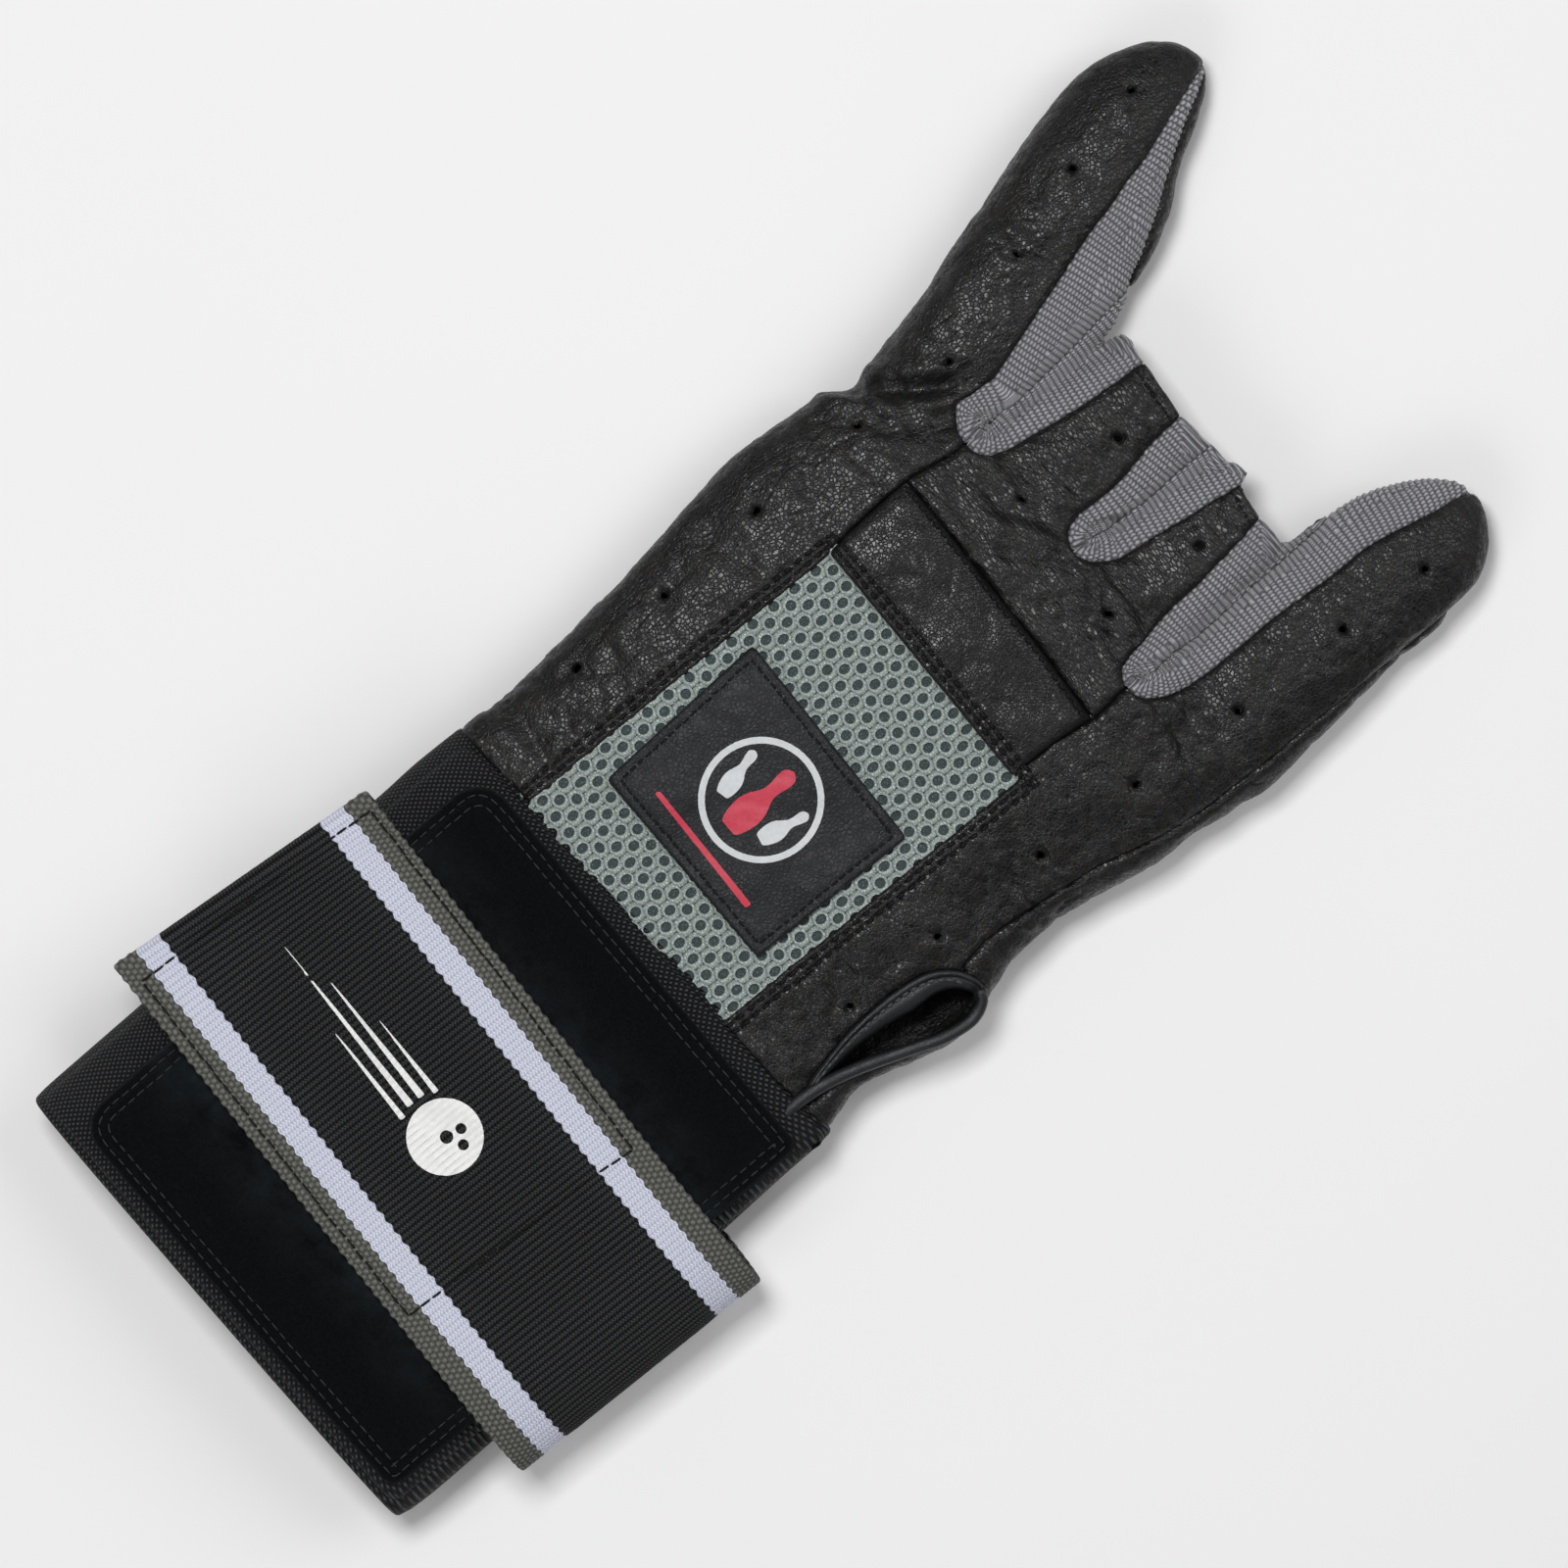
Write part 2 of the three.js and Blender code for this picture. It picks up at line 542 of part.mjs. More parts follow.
function cuffPanel() {
  const left = cuffEdge(CUFF_SECTIONS.at(-1).left) + PANEL_LEFT_MARGIN;
  const right = cuffEdge(CUFF_SECTIONS[0].right) - PANEL_RIGHT_MARGIN;
  const head = cuff.y - PANEL_END_MARGIN;
  const foot = cuff.y - CUFF_LENGTH + PANEL_END_MARGIN;
  const outline = new THREE.Shape();
  outline.moveTo(right, head);
  outline.lineTo(left + PANEL_CORNER, head);
  outline.absarc(left + PANEL_CORNER, head - PANEL_CORNER, PANEL_CORNER, Math.PI / 2, Math.PI);
  outline.absarc(
    left + PANEL_CORNER, foot + PANEL_CORNER, PANEL_CORNER, Math.PI, 1.5 * Math.PI,
  );
  outline.lineTo(right, foot);
  const corners = outline.getPoints(CORNER_STEPS).map((p) => [p.x, p.y]);
  const skin = loft(cuff, SEAM_GAP + PANEL_WALL).subtract(loft(cuff, SEAM_GAP, WALL_RUN, WALL_RUN));
  return skin.intersect(prism(corners, CUFF_FLOOR + CUFF_DEPTH / 2));
}

// The strap's middle line in its own upright plane: over the cuff, round its thumb side and
// back beneath it.
const strapTop =
  CUFF_FLOOR + CUFF_DEPTH + PANEL_WALL + HOOK_WALL + 3 * SEAM_GAP + STRAP_WALL / 2;
const strapLeft = cuffEdge(CUFF_SECTIONS[3].left) - STRAP_OVERHANG_LEFT;
const strapRight = cuffEdge(CUFF_SECTIONS[3].right) + STRAP_OVERHANG_RIGHT;
const foldX = strapRight - STRAP_WALL / 2 - FOLD_REACH;
const sewnX = cuffEdge(CUFF_SECTIONS[3].left) + STRAP_SEWN_END;

function strapHeight(x) {
  const share = (x - WRIST_CENTRE) / (WRIST_CENTRE - strapLeft);
  return strapTop - STRAP_SAG * share ** 2;
}

function strapRun(from, to, steps, rise = 0) {
  return Array.from({ length: steps + 1 }, (_, i) => {
    const x = from + ((to - from) * i) / steps;
    return new THREE.Vector2(x, strapHeight(x) + rise);
  });
}

// A band of even thickness along a line in the upright plane, as wide as told along Y.
function band(points, wall, width) {
  const side = (reach) =>
    points.map((p, i) => {
      const ahead = points[Math.min(i + 1, points.length - 1)];
      const behind = points[Math.max(i - 1, 0)];
      const along = ahead.clone().sub(behind).normalize();
      return new THREE.Vector2(p.x - along.y * reach, p.y + along.x * reach);
    });
  const shape = new THREE.Shape([...side(wall / 2), ...side(-wall / 2).reverse()]);
  const geometry = new THREE.ExtrudeGeometry(shape, { depth: width, bevelEnabled: false });
  geometry.rotateX(Math.PI / 2);
  geometry.translate(0, width / 2, 0);
  return solid(geometry);
}

function wristStrap() {
  const over = strapRun(strapLeft, foldX, STRAP_STEPS);
  const high = over.at(-1).y;
  const low = STRAP_WALL / 2;
  const fold = Array.from({ length: FOLD_STEPS - 1 }, (_, i) => {
    const angle = Math.PI / 2 - (Math.PI * (i + 1)) / FOLD_STEPS;
    const x = foldX + FOLD_REACH * Math.cos(angle);
    return new THREE.Vector2(x, (high + low) / 2 + ((high - low) / 2) * Math.sin(angle));
  });
  const beneath = [new THREE.Vector2(foldX, low), new THREE.Vector2(sewnX, low)];
  const hem = strapRun(strapLeft, strapLeft + HEM_LENGTH, 1, HEM_SINK - STRAP_WALL);
  return band([...over, ...fold, ...beneath], STRAP_WALL, STRAP_WIDTH)
    .add(band(hem, STRAP_WALL, STRAP_WIDTH));
}

function hookPatch() {
  const start = strapLeft + HEM_LENGTH + HOOK_MARGIN;
  const drop = -(STRAP_WALL + HOOK_WALL) / 2 - SEAM_GAP;
  const run = strapRun(start, start + HOOK_LENGTH, STRAP_STEPS, drop);
  return band(run, HOOK_WALL, STRAP_WIDTH - 2 * HOOK_MARGIN);
}

const finishes = {
  leather: { color: 0x1c1b1a, roughness: 0.55 },
  knit: { color: 0x85858f, roughness: 0.95 },
  net: { color: 0xa9b3ad, roughness: 0.9 },
  patch: { color: 0x3c3e42, roughness: 0.6 },
  piping: { color: 0x373c3f, roughness: 0.5 },
  velour: { color: 0x121216, roughness: 1 },
  nylon: { color: 0x17171a, roughness: 0.8 },
  webbing: { color: 0x28292b, roughness: 0.8 },
};

function piece(name, manifold, finish) {
  const material = new THREE.MeshStandardMaterial({ ...finishes[finish], metalness: 0 });
  const mesh = new THREE.Mesh(geometryOf(manifold), material);
  mesh.name = name;
  return mesh;
}

const leatherHand = new THREE.Group();
leatherHand.add(
  piece("hand_back", handBack(), "leather"),
  piece("palm_little", palmLeather(littlePanel), "leather"),
  piece("palm_centre", palmLeather(centrePanel), "leather"),
  piece("palm_index", palmLeather(indexPanel), "leather"),
  piece("palm_pad", palmPad(), "leather"),
  piece("palm_mesh", palmMesh(), "net"),
  piece("palm_patch", palmPatch(), "patch"),
  piece("gusset_little_ring", gusset(littleRingPanel), "knit"),
  piece("gusset_ring_middle", gusset(ringMiddlePanel), "knit"),
  piece("gusset_middle_index", gusset(middleIndexPanel), "knit"),
  piece("thumb_binding", bindingTube(BINDING_WIDTH / 2), "piping"),
);

const strapGroup = new THREE.Group();
strapGroup.add(
  piece("wrist_strap", wristStrap(), "webbing"),
  piece("hook_patch", hookPatch(), "nylon"),
);
strapGroup.position.y = -STRAP_ALONG;
strapGroup.rotation.z = THREE.MathUtils.degToRad(STRAP_TURN);

const cuffGroup = new THREE.Group();
cuffGroup.add(
  piece("cuff_sleeve", cuffSleeve, "nylon"),
  piece("cuff_panel", cuffPanel(), "velour"),
  strapGroup,
);

// The origin is the middle of the footprint, on the floor.
const glove = new THREE.Group();
glove.add(leatherHand, cuffGroup);
const reach = new THREE.Box3().setFromObject(glove, true);
const centre = reach.getCenter(new THREE.Vector3());
glove.position.set(-centre.x, -centre.y, -reach.min.z);

export default glove;
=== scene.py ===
# A right-hand bowling glove with a wrist support, lying on its back with the palm up.
# Shapes are worked out in millimetres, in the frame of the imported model: +X to the thumb side,
# +Y from the cuff to the fingertips, +Z up. They become metres when a mesh is made.
import json
import math

import bpy
import numpy as np
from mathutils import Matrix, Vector
from mathutils.bvhtree import BVHTree

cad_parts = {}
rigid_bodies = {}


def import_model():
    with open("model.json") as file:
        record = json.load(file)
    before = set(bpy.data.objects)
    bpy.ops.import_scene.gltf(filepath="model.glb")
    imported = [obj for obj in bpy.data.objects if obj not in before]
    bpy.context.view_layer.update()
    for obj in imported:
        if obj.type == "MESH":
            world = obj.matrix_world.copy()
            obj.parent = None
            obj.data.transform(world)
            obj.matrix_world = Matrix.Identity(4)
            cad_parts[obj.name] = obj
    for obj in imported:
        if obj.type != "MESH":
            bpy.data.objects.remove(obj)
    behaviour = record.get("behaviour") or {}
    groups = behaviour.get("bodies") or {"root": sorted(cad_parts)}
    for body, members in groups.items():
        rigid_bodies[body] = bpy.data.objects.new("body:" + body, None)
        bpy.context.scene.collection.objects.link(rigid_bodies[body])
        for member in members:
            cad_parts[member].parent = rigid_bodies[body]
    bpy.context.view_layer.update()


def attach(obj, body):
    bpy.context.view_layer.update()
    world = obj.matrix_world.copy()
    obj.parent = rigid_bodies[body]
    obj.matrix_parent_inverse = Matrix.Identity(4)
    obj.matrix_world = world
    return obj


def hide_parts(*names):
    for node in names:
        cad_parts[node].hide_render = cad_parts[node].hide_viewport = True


for old in list(bpy.context.scene.objects):
    bpy.data.objects.remove(old)
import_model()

MM = 0.001
UP = np.array([0.0, 0.0, 1.0])
TURN = 2 * math.pi
TINY = 1e-6
FAR_AWAY = 1e9
RAND = np.random.RandomState(7)

# Soft unevenness of a surface is a sum of so many waves
WAVE_COUNT = 14

# Leather hand
LOFT_SIDES = 96
LOFT_STEP = 1.0
VOXEL = 0.8
LEATHER_WALL = 1.1
KNIT_WALL = 0.9
SEAM_HEIGHT = 5.6
ROLL_LEVELS = (0.28, 0.65, 1.2)
ROLL_RADIUS = 1.5
VENT_RADIUS = 0.58

# Spacer mesh window
HOLE_STEP_X = 3.55
HOLE_STEP_Y = 2.35
HOLE_HALF_X = 0.84
HOLE_HALF_Y = 0.98
NET_MARGIN = 2.2
NET_SINK = 0.7
NET_WALL = 0.6
NET_SIDES = 14
NET_BOTTOM = -38.5
WINDOW_TOP = 29.6
UNDERLAY_SINK = 1.55
UNDERLAY_WALL = 0.5

# Patch. It hides the holes of the net that lie further inside its edge than the overlap.
PATCH_OVERLAP = 2.5
PATCH_WALL = 1.1
PATCH_RISE = 0.9
PATCH_CORNERS = ((-21.0, -24.2), (18.9, -24.0), (19.6, 8.7), (-22.5, 9.7))
PATCH_BORDER = ((-19.3, -22.5), (17.3, -22.3), (17.9, 7.0), (-20.7, 8.0))
PATCH_GROOVE = 1.7

# Cuff, panel and strap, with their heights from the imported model.
# Each row of the cuff: y, left edge, right edge, top, underside, slant of y along x.
CUFF_WALL = 2.2
CUFF_POWER = 2.6
CUFF_SIDES = 150
CUFF = (
    (-133.2, -42.3, 53.0, 21.0, 2.7, 0.018), (-131, -42.5, 53.4, 21.5, 2.4, 0.018),
    (-126, -42.6, 53.6, 21.8, 2.3, 0.018), (-114, -42.8, 53.4, 22.0, 2.3, 0.02),
    (-90, -43.2, 52.6, 21.9, 2.3, 0.02), (-70, -43.8, 51.6, 21.5, 2.3, 0.025),
    (-54, -44.0, 50.9, 20.7, 2.3, 0.03), (-46, -44.3, 50.6, 19.9, 2.3, 0.034),
    (-40, -44.2, 50.5, 19.1, 2.4, 0.04), (-36.6, -44.1, 50.2, 18.5, 2.6, 0.044),
)
COVER_CORNERS = ((-41.5, -133.6), (50.6, -131.9), (50.5, -34.6), (-41.5, -38.4))
COVER_RISE = 1.0
COVER_WALL = 1.3
PANEL_CORNERS = ((-34.2, -131.2), (48.6, -130.3), (48.4, -39.3), (-35.7, -39.6))
PANEL_RADII = (6.5, 2.6, 2.6, 7.0)
PANEL_RISE = 2.0
PANEL_WALL = 2.0
PANEL_ROWS = (1.6, 3.3)
# Bands in y where the strap has rubbed the velour: each rises over the first two and falls over
# the last two
RUBBED_ABOVE = (-62, -60, -57.5, -47)
RUBBED_BELOW = (-123, -111, -108, -106)
STRAP_WALL = 1.7
STRAP_WIDTH = 52.2
STRAP_TURN = math.radians(-1.35)
STRAP_MIDDLE_Y = -83.9
STRAP_TOP_RUN = 130
RIB_STEP = 1.15
RIB_RISE = 0.17
WHITE_RISE = 0.04
LOWER_SHARE = 0.6
LANE_STEP = 0.95
EDGE_WAVE = 0.14
END_SLANT = 0.068
HEM_SKEW = 1.6
STITCH_STEP = 1.9
WINDOW_STITCH = 2.3
WHITE_FROM = 16.6
GREY_FROM = 21.4
CELL_STEP = 0.6
STRAP_PATH = (
    (-41.5, 24.6), (-45.6, 24.5), (-47.0, 24.75), (-47.45, 25.5), (-47.0, 26.2), (-45.6, 26.5),
    (-40, 26.85), (-36, 27.15), (-24, 27.55), (-12, 27.95), (0, 28.05), (12, 28.05), (20, 27.9),
    (32, 27.45), (40, 27.0), (46, 26.3), (51, 25.1), (54.8, 23.2), (57.9, 20.6), (59.7, 17.6),
    (60.3, 14.2), (59.6, 10.4), (57.6, 7.0), (54.7, 4.2), (51, 2.1), (46, 1.05), (40, 0.85),
    (20, 0.85), (0, 0.85), (-20, 0.85),
)
# Lines of stitches on the strap, along it and across it
STRAP_ROWS = (
    ((-43.2, 24.7), (0, 24.2), (29.6, 23.6)),
    ((29.6, 23.6), (28.9, 14), (28.3, -10), (27.9, -23.8)),
    ((27.9, -23.8), (0, -23.9), (-44.4, -23.9)),
    ((-43.2, 24.7), (-43.9, 12), (-44.8, -24)),
)
HOOK_WALL = 1.1
HOOK_CORNERS = ((-39.8, -22.6), (32, -22.6), (32, 22.6), (-39.8, 22.6))
NYLON_STEP = 1.25

# Knit
KNIT_QUARTER = 0.28
KNIT_ROW = 4 * KNIT_QUARTER
KNIT_RISE = 0.15
KNIT_PUFF = 0.75
KNIT_SINK = 0.45
KNIT_WIDTH = 6.5
KNIT_COLUMN = 0.62

# Pad, thumb slit and prints
PAD_RISE = 1.5
PAD_ROUND = 3.2
PAD_SIDES = (-27.2, 24.4)
SLIT_FLOOR = 7.0
EMBLEM = (-1.3, -6.2)
EMBLEM_RADIUS = 10.8
INK_LIFT = 0.07
CIRCLE_SIDES = 48

# Camera and light
CAMERA_TURN = math.radians(50)
CAMERA_CENTRE = (-0.89, -1.47)
CAMERA_DISTANCE = 1.5
CAMERA_WIDTH = 0.2688
CAMERA_SENSOR = 36.0
WORLD_LIGHT = 0.13

# A millimetre in UV, and the near black of the leather, which is also the painted shade between its
# grains and in its creases
UV_UNIT = 0.01
LEATHER_BLACK = (0.0008, 0.0008, 0.001)


# Curves and fields in plan

def smooth_rows(rows, step):
    """Rows of a table resampled at even steps of the first column, by a monotone cubic."""
    rows = np.array(rows, float)
    t, values = rows[:, 0], rows[:, 1:]
    gap = np.diff(t)[:, None]
    slope = np.diff(values, axis=0) / gap
    tangent = np.zeros_like(values)
    left, right = slope[:-1], slope[1:]
    same = left * right > 0
    mean = np.where(same, 2 * left * right / np.where(same, left + right, 1), 0)
    tangent[1:-1] = mean
    tangent[0], tangent[-1] = slope[0], slope[-1]
    count = max(int(round((t[-1] - t[0]) / step)), 2)
    new = np.linspace(t[0], t[-1], count + 1)
    k = np.clip(np.searchsorted(t, new, "right") - 1, 0, len(t) - 2)
    h = gap[k]
    u = ((new - t[k])[:, None]) / h
    out = (
        (2 * u**3 - 3 * u**2 + 1) * values[k]
        + (u**3 - 2 * u**2 + u) * h * tangent[k]
        + (-2 * u**3 + 3 * u**2) * values[k + 1]
        + (u**3 - u**2) * h * tangent[k + 1]
    )
    return np.column_stack([new, out])


def curve(points, step=0.8):
    """A smooth line through the points, resampled at even steps."""
    p = np.array(points, float)
    p = np.vstack([2 * p[0] - p[1], p, 2 * p[-1] - p[-2]])
    fine = []
    for i in range(1, len(p) - 2):
        a, b, c, d = p[i - 1:i + 3]
        u = np.linspace(0, 1, 13)[:-1, None]
        fine.append(
            0.5 * (2 * b + (c - a) * u + (2 * a - 5 * b + 4 * c - d) * u**2
                   + (3 * b - a - 3 * c + d) * u**3)
        )
    fine = np.vstack(fine + [p[-2][None]])
    return resample(fine, step)


def running_length(line):
    """Length along a line up to each of its points."""
    return np.concatenate([[0], np.cumsum(np.linalg.norm(np.diff(line, axis=0), axis=1))])


def resample(line, step):
    length = running_length(line)
    count = max(int(round(length[-1] / step)), 1)
    at = np.linspace(0, length[-1], count + 1)
    return np.column_stack([np.interp(at, length, line[:, c]) for c in range(line.shape[1])])


def along_line(points, line):
    """Length along a polyline in plan at the place nearest to each point, and the distance to it."""
    best = np.full(len(points), FAR_AWAY)
    at = np.zeros(len(points))
    p = points[:, :2]
    run = 0.0
    for a, b in zip(line[:-1], line[1:]):
        step = b - a
        size = float(np.linalg.norm(step))
        if size < TINY:
            continue
        u = np.clip((p - a) @ step / (size * size), 0, 1)
        d = np.hypot(*(p - a - u[:, None] * step).T)
        closer = d < best
        best = np.where(closer, d, best)
        at = np.where(closer, run + u * size, at)
        run += size
    return at, best


def distance_to_line(points, line):
    return along_line(points, line)[1]


def inside_field(points, outline):
    """Distance to an outline in plan, positive inside it."""
    ring = np.vstack([outline, outline[:1]])
    p = points[:, :2]
    inside = np.zeros(len(p), bool)
    for (ax, ay), (bx, by) in zip(ring[:-1], ring[1:]):
        if ay == by:
            continue
        cross = ((ay > p[:, 1]) != (by > p[:, 1])) & (
            p[:, 0] < (bx - ax) * (p[:, 1] - ay) / (by - ay) + ax
        )
        inside ^= cross
    near = distance_to_line(points, ring)
    return np.where(inside, near, -near)


# Meshes as arrays: each vertex is a row of x, y, z and further values

def cut(verts, faces, field, keep_rest=False):
    """Cuts triangles where the field is zero. Drops what is below zero unless told to keep it."""
    field = np.where(np.abs(field) < 0.04, 0.0, field)
    side = np.where(field[faces] > 0, 1, np.where(field[faces] < 0, -1, 0))
    crossed = (side.max(1) > 0) & (side.min(1) < 0)
    above = ~crossed & (side.max(1) > 0)
    whole = faces[~crossed] if keep_rest else faces[above]
    tri = faces[crossed]
    if not len(tri):
        return verts, whole, field
    positive = field[tri] >= 0
    lone_positive = positive.sum(1) == 1
    lone = np.where(lone_positive, positive.argmax(1), (~positive).argmax(1))
    rows = np.arange(len(tri))
    a = tri[rows, lone]
    b = tri[rows, (lone + 1) % 3]
    c = tri[rows, (lone + 2) % 3]
    edges = np.vstack([np.column_stack([a, b]), np.column_stack([a, c])])
    edges.sort(axis=1)
    unique, back = np.unique(edges, axis=0, return_inverse=True)
    back = back.reshape(-1)
    fa, fb = field[unique[:, 0]], field[unique[:, 1]]
    mix = (fa / (fa - fb))[:, None]
    fresh = verts[unique[:, 0]] * (1 - mix) + verts[unique[:, 1]] * mix
    ab = back[:len(tri)] + len(verts)
    ac = back[len(tri):] + len(verts)
    tip = np.column_stack([a, ab, ac])
    rest = np.vstack([np.column_stack([ab, b, c]), np.column_stack([ab, c, ac])])
    pieces = [whole]
    if keep_rest:
        pieces += [tip, rest]
    else:
        both = np.concatenate([~lone_positive, ~lone_positive])
        pieces += [tip[lone_positive], rest[both]]
    verts = np.vstack([verts, fresh])
    field = np.concatenate([field, np.zeros(len(fresh))])
    faces = np.vstack(pieces)
    return verts, without_flat(faces), field


def without_flat(faces):
    """Leaves out triangles that name a vertex twice."""
    return faces[(faces != np.roll(faces, 1, axis=1)).all(1)]


def compact(verts, faces, *others):
    """Leaves out the vertices that no triangle uses."""
    used = np.unique(faces)
    index = np.full(len(verts), -1)
    index[used] = np.arange(len(used))
    return (verts[used], index[faces], *[values[used] for values in others])


def unit(vectors):
    """The vectors at a length of one."""
    return vectors / np.maximum(np.linalg.norm(vectors, axis=1), TINY)[:, None]


def normals(verts, faces):
    p = verts[:, :3]
    face = np.cross(p[faces[:, 1]] - p[faces[:, 0]], p[faces[:, 2]] - p[faces[:, 0]])
    total = np.column_stack([
        sum(np.bincount(faces[:, k], face[:, c], len(p)) for k in range(3)) for c in range(3)
    ])
    return unit(total)


def edges_of(faces):
    return np.vstack([faces[:, [0, 1]], faces[:, [1, 2]], faces[:, [2, 0]]])


def relax(verts, faces, rounds):
    """Evens out a mesh by moving each vertex half way to its neighbours' mean."""
    edges = edges_of(faces)
    edges = np.vstack([edges, edges[:, ::-1]])
    count = np.maximum(np.bincount(edges[:, 0], minlength=len(verts)), 1)
    verts = verts.copy()
    for _ in range(rounds):
        mean = np.column_stack([
            np.bincount(edges[:, 0], verts[edges[:, 1], c], len(verts)) / count for c in range(3)
        ])
        verts[:, :3] += 0.5 * (mean - verts[:, :3])
    return verts


def thicken(verts, faces, wall, direction=None):
    """Adds an inner skin and the rims between the two."""
    inner = verts.copy()
    inner[:, :3] -= wall * (normals(verts, faces) if direction is None else direction)
    edges = edges_of(faces)
    key = np.sort(edges, axis=1)
    _, first, count = np.unique(key, axis=0, return_index=True, return_counts=True)
    rim = edges[first[count == 1]]
    shift = len(verts)
    sides = np.vstack([
        np.column_stack([rim[:, 1], rim[:, 0], rim[:, 0] + shift]),
        np.column_stack([rim[:, 1], rim[:, 0] + shift, rim[:, 1] + shift]),
    ])
    return np.vstack([verts, inner]), np.vstack([faces, faces[:, ::-1] + shift, sides])


def waves(points, scale, seed):
    """Soft seeded unevenness between about -1 and 1, from waves in many directions."""
    rand = np.random.RandomState(seed)
    total = np.zeros(len(points))
    for _ in range(WAVE_COUNT):
        direction = rand.normal(size=3)
        direction /= np.linalg.norm(direction)
        pitch = scale * rand.uniform(0.6, 1.6)
        total += np.sin(points[:, :3] @ direction * TURN / pitch + rand.uniform(0, 7))
    return total / math.sqrt(WAVE_COUNT)


# Blender objects

def make(name, verts, faces, material, slot, node=None, uv=None, sharp=50):
    mesh = bpy.data.meshes.new(name)
    mesh.from_pydata((verts[:, :3] * MM).tolist(), [], faces.tolist())
    mesh.validate()
    mesh.shade_smooth()
    if sharp:
        mesh.set_sharp_from_angle(angle=math.radians(sharp))
    if uv is not None:
        layer = mesh.uv_layers.new(name="UVMap")
        loops = np.empty(len(mesh.loops), int)
        mesh.loops.foreach_get("vertex_index", loops)
        layer.data.foreach_set("uv", (uv[loops] * UV_UNIT).astype(np.float32).ravel())
    obj = bpy.data.objects.new(name, mesh)
    bpy.context.scene.collection.objects.link(obj)
    mesh.materials.append(MATERIALS[material])
    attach(obj, "root")
    if node:
        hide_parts(node)
    return obj


def grid_faces(rows, columns, wrap=False):
    """Triangles of a grid of vertices, row by row."""
    across = columns if wrap else columns - 1
    r, c = np.meshgrid(np.arange(rows - 1), np.arange(across), indexing="ij")
    a = (r * columns + c).ravel()
    b = (r * columns + (c + 1) % columns).ravel()
    return np.vstack([np.column_stack([a, b, b + columns]),
                      np.column_stack([a, b + columns, a + columns])])


def around(sides):
    """Cosines and sines at even steps round a circle."""
    angle = np.linspace(0, TURN, sides, endpoint=False)
    return np.cos(angle), np.sin(angle)


def closed_rings(rings, ends):
    """A mesh round a row of rings, closed by a point in the middle of each end."""
    count, sides = rings.shape[:2]
    k = np.arange(sides)
    following = (k + 1) % sides
    first = count * sides
    base = first - sides
    faces = np.vstack([
        grid_faces(count, sides, wrap=True)[:, ::-1],
        np.column_stack([np.full(sides, first), k, following]),
        np.column_stack([np.full(sides, first + 1), base + following, base + k]),
    ])
    return np.vstack([rings.reshape(-1, 3), ends]), faces


def joined(parts):
    """One mesh of several."""
    verts, faces, shift = [], [], 0
    for v, f in parts:
        verts.append(v[:, :3])
        faces.append(f + shift)
        shift += len(v)
    return np.vstack(verts), np.vstack(faces)


# Sections of the hand. Each row: y, left edge, right edge, top, underside.
PALM = (
    (-46, -43.6, 50.0, 18.7, 2.2), (-38, -44.0, 50.0, 19.0, 2.1), (-34, -43.7, 49.5, 19.2, 1.9),
    (-30, -43.6, 48.7, 19.4, 1.6), (-26, -43.8, 47.6, 19.6, 1.2), (-22, -43.9, 48.0, 19.8, 0.8),
    (-18, -44.1, 49.1, 20.0, 0.4), (-14, -44.4, 50.2, 20.3, 0.0), (-6, -45.2, 51.6, 20.7, -0.4),
    (-2, -45.7, 51.1, 20.9, -0.6), (2, -46.4, 49.2, 21.0, -0.7), (10, -47.4, 47.2, 21.0, -0.7),
    (18, -48.3, 47.0, 21.0, -0.7), (26, -49.0, 47.9, 20.9, -0.7), (34, -49.4, 49.5, 20.9, -0.7),
    (42, -49.0, 51.3, 20.8, -0.7), (48, -48.0, 51.9, 20.4, -0.6), (52, -45.6, 52.3, 20.0, -0.5),
    (56, -42.5, 52.0, 19.4, -0.3), (60, -39.0, 50.0, 18.5, 0.2), (64, -35.0, 46.0, 16.8, 1.0),
    (68, -29.0, 39.0, 14.0, 2.4), (71, -22.0, 31.0, 10.5, 4.5),
)
LITTLE = (
    (40, -42.0, -27.0, 11.0, 4.0), (46, -44.5, -25.5, 14.0, 1.5), (50, -45.6, -24.8, 15.2, 0.4),
    (54, -46.6, -24.3, 16.0, 0.0), (60, -47.8, -24.0, 16.6, -0.4), (66, -49.2, -24.0, 16.9, -0.5),
    (74, -51.1, -23.9, 17.0, -0.6), (82, -53.4, -23.6, 17.0, -0.6), (86, -54.6, -23.9, 16.9, -0.6),
    (90, -55.7, -25.0, 16.8, -0.6), (98, -57.9, -27.6, 16.6, -0.5), (106, -59.7, -30.3, 16.2, -0.4),
    (112, -60.9, -33.3, 15.8, -0.3), (118, -61.5, -37.1, 15.2, -0.1), (124, -60.7, -40.7, 13.9, 0.4),
    (128, -59.4, -43.2, 12.6, 1.0), (131, -57.6, -45.0, 11.3, 1.8), (133, -55.3, -46.6, 10.0, 2.8),
    (134.2, -52.6, -48.0, 8.6, 4.0), (134.6, -51.0, -49.6, 7.2, 5.2),
)
RING = (
    (44, -21.0, -1.0, 13.0, 4.0), (52, -24.0, 2.4, 16.5, 0.6), (60, -24.4, 3.2, 16.8, -0.3),
    (72, -24.2, 3.2, 17.0, -0.6), (80, -23.9, 3.1, 17.0, -0.6), (86, -23.2, 3.8, 16.9, -0.6),
    (92, -22.6, 4.6, 16.7, -0.5), (100, -21.4, 5.6, 16.5, -0.4),
)
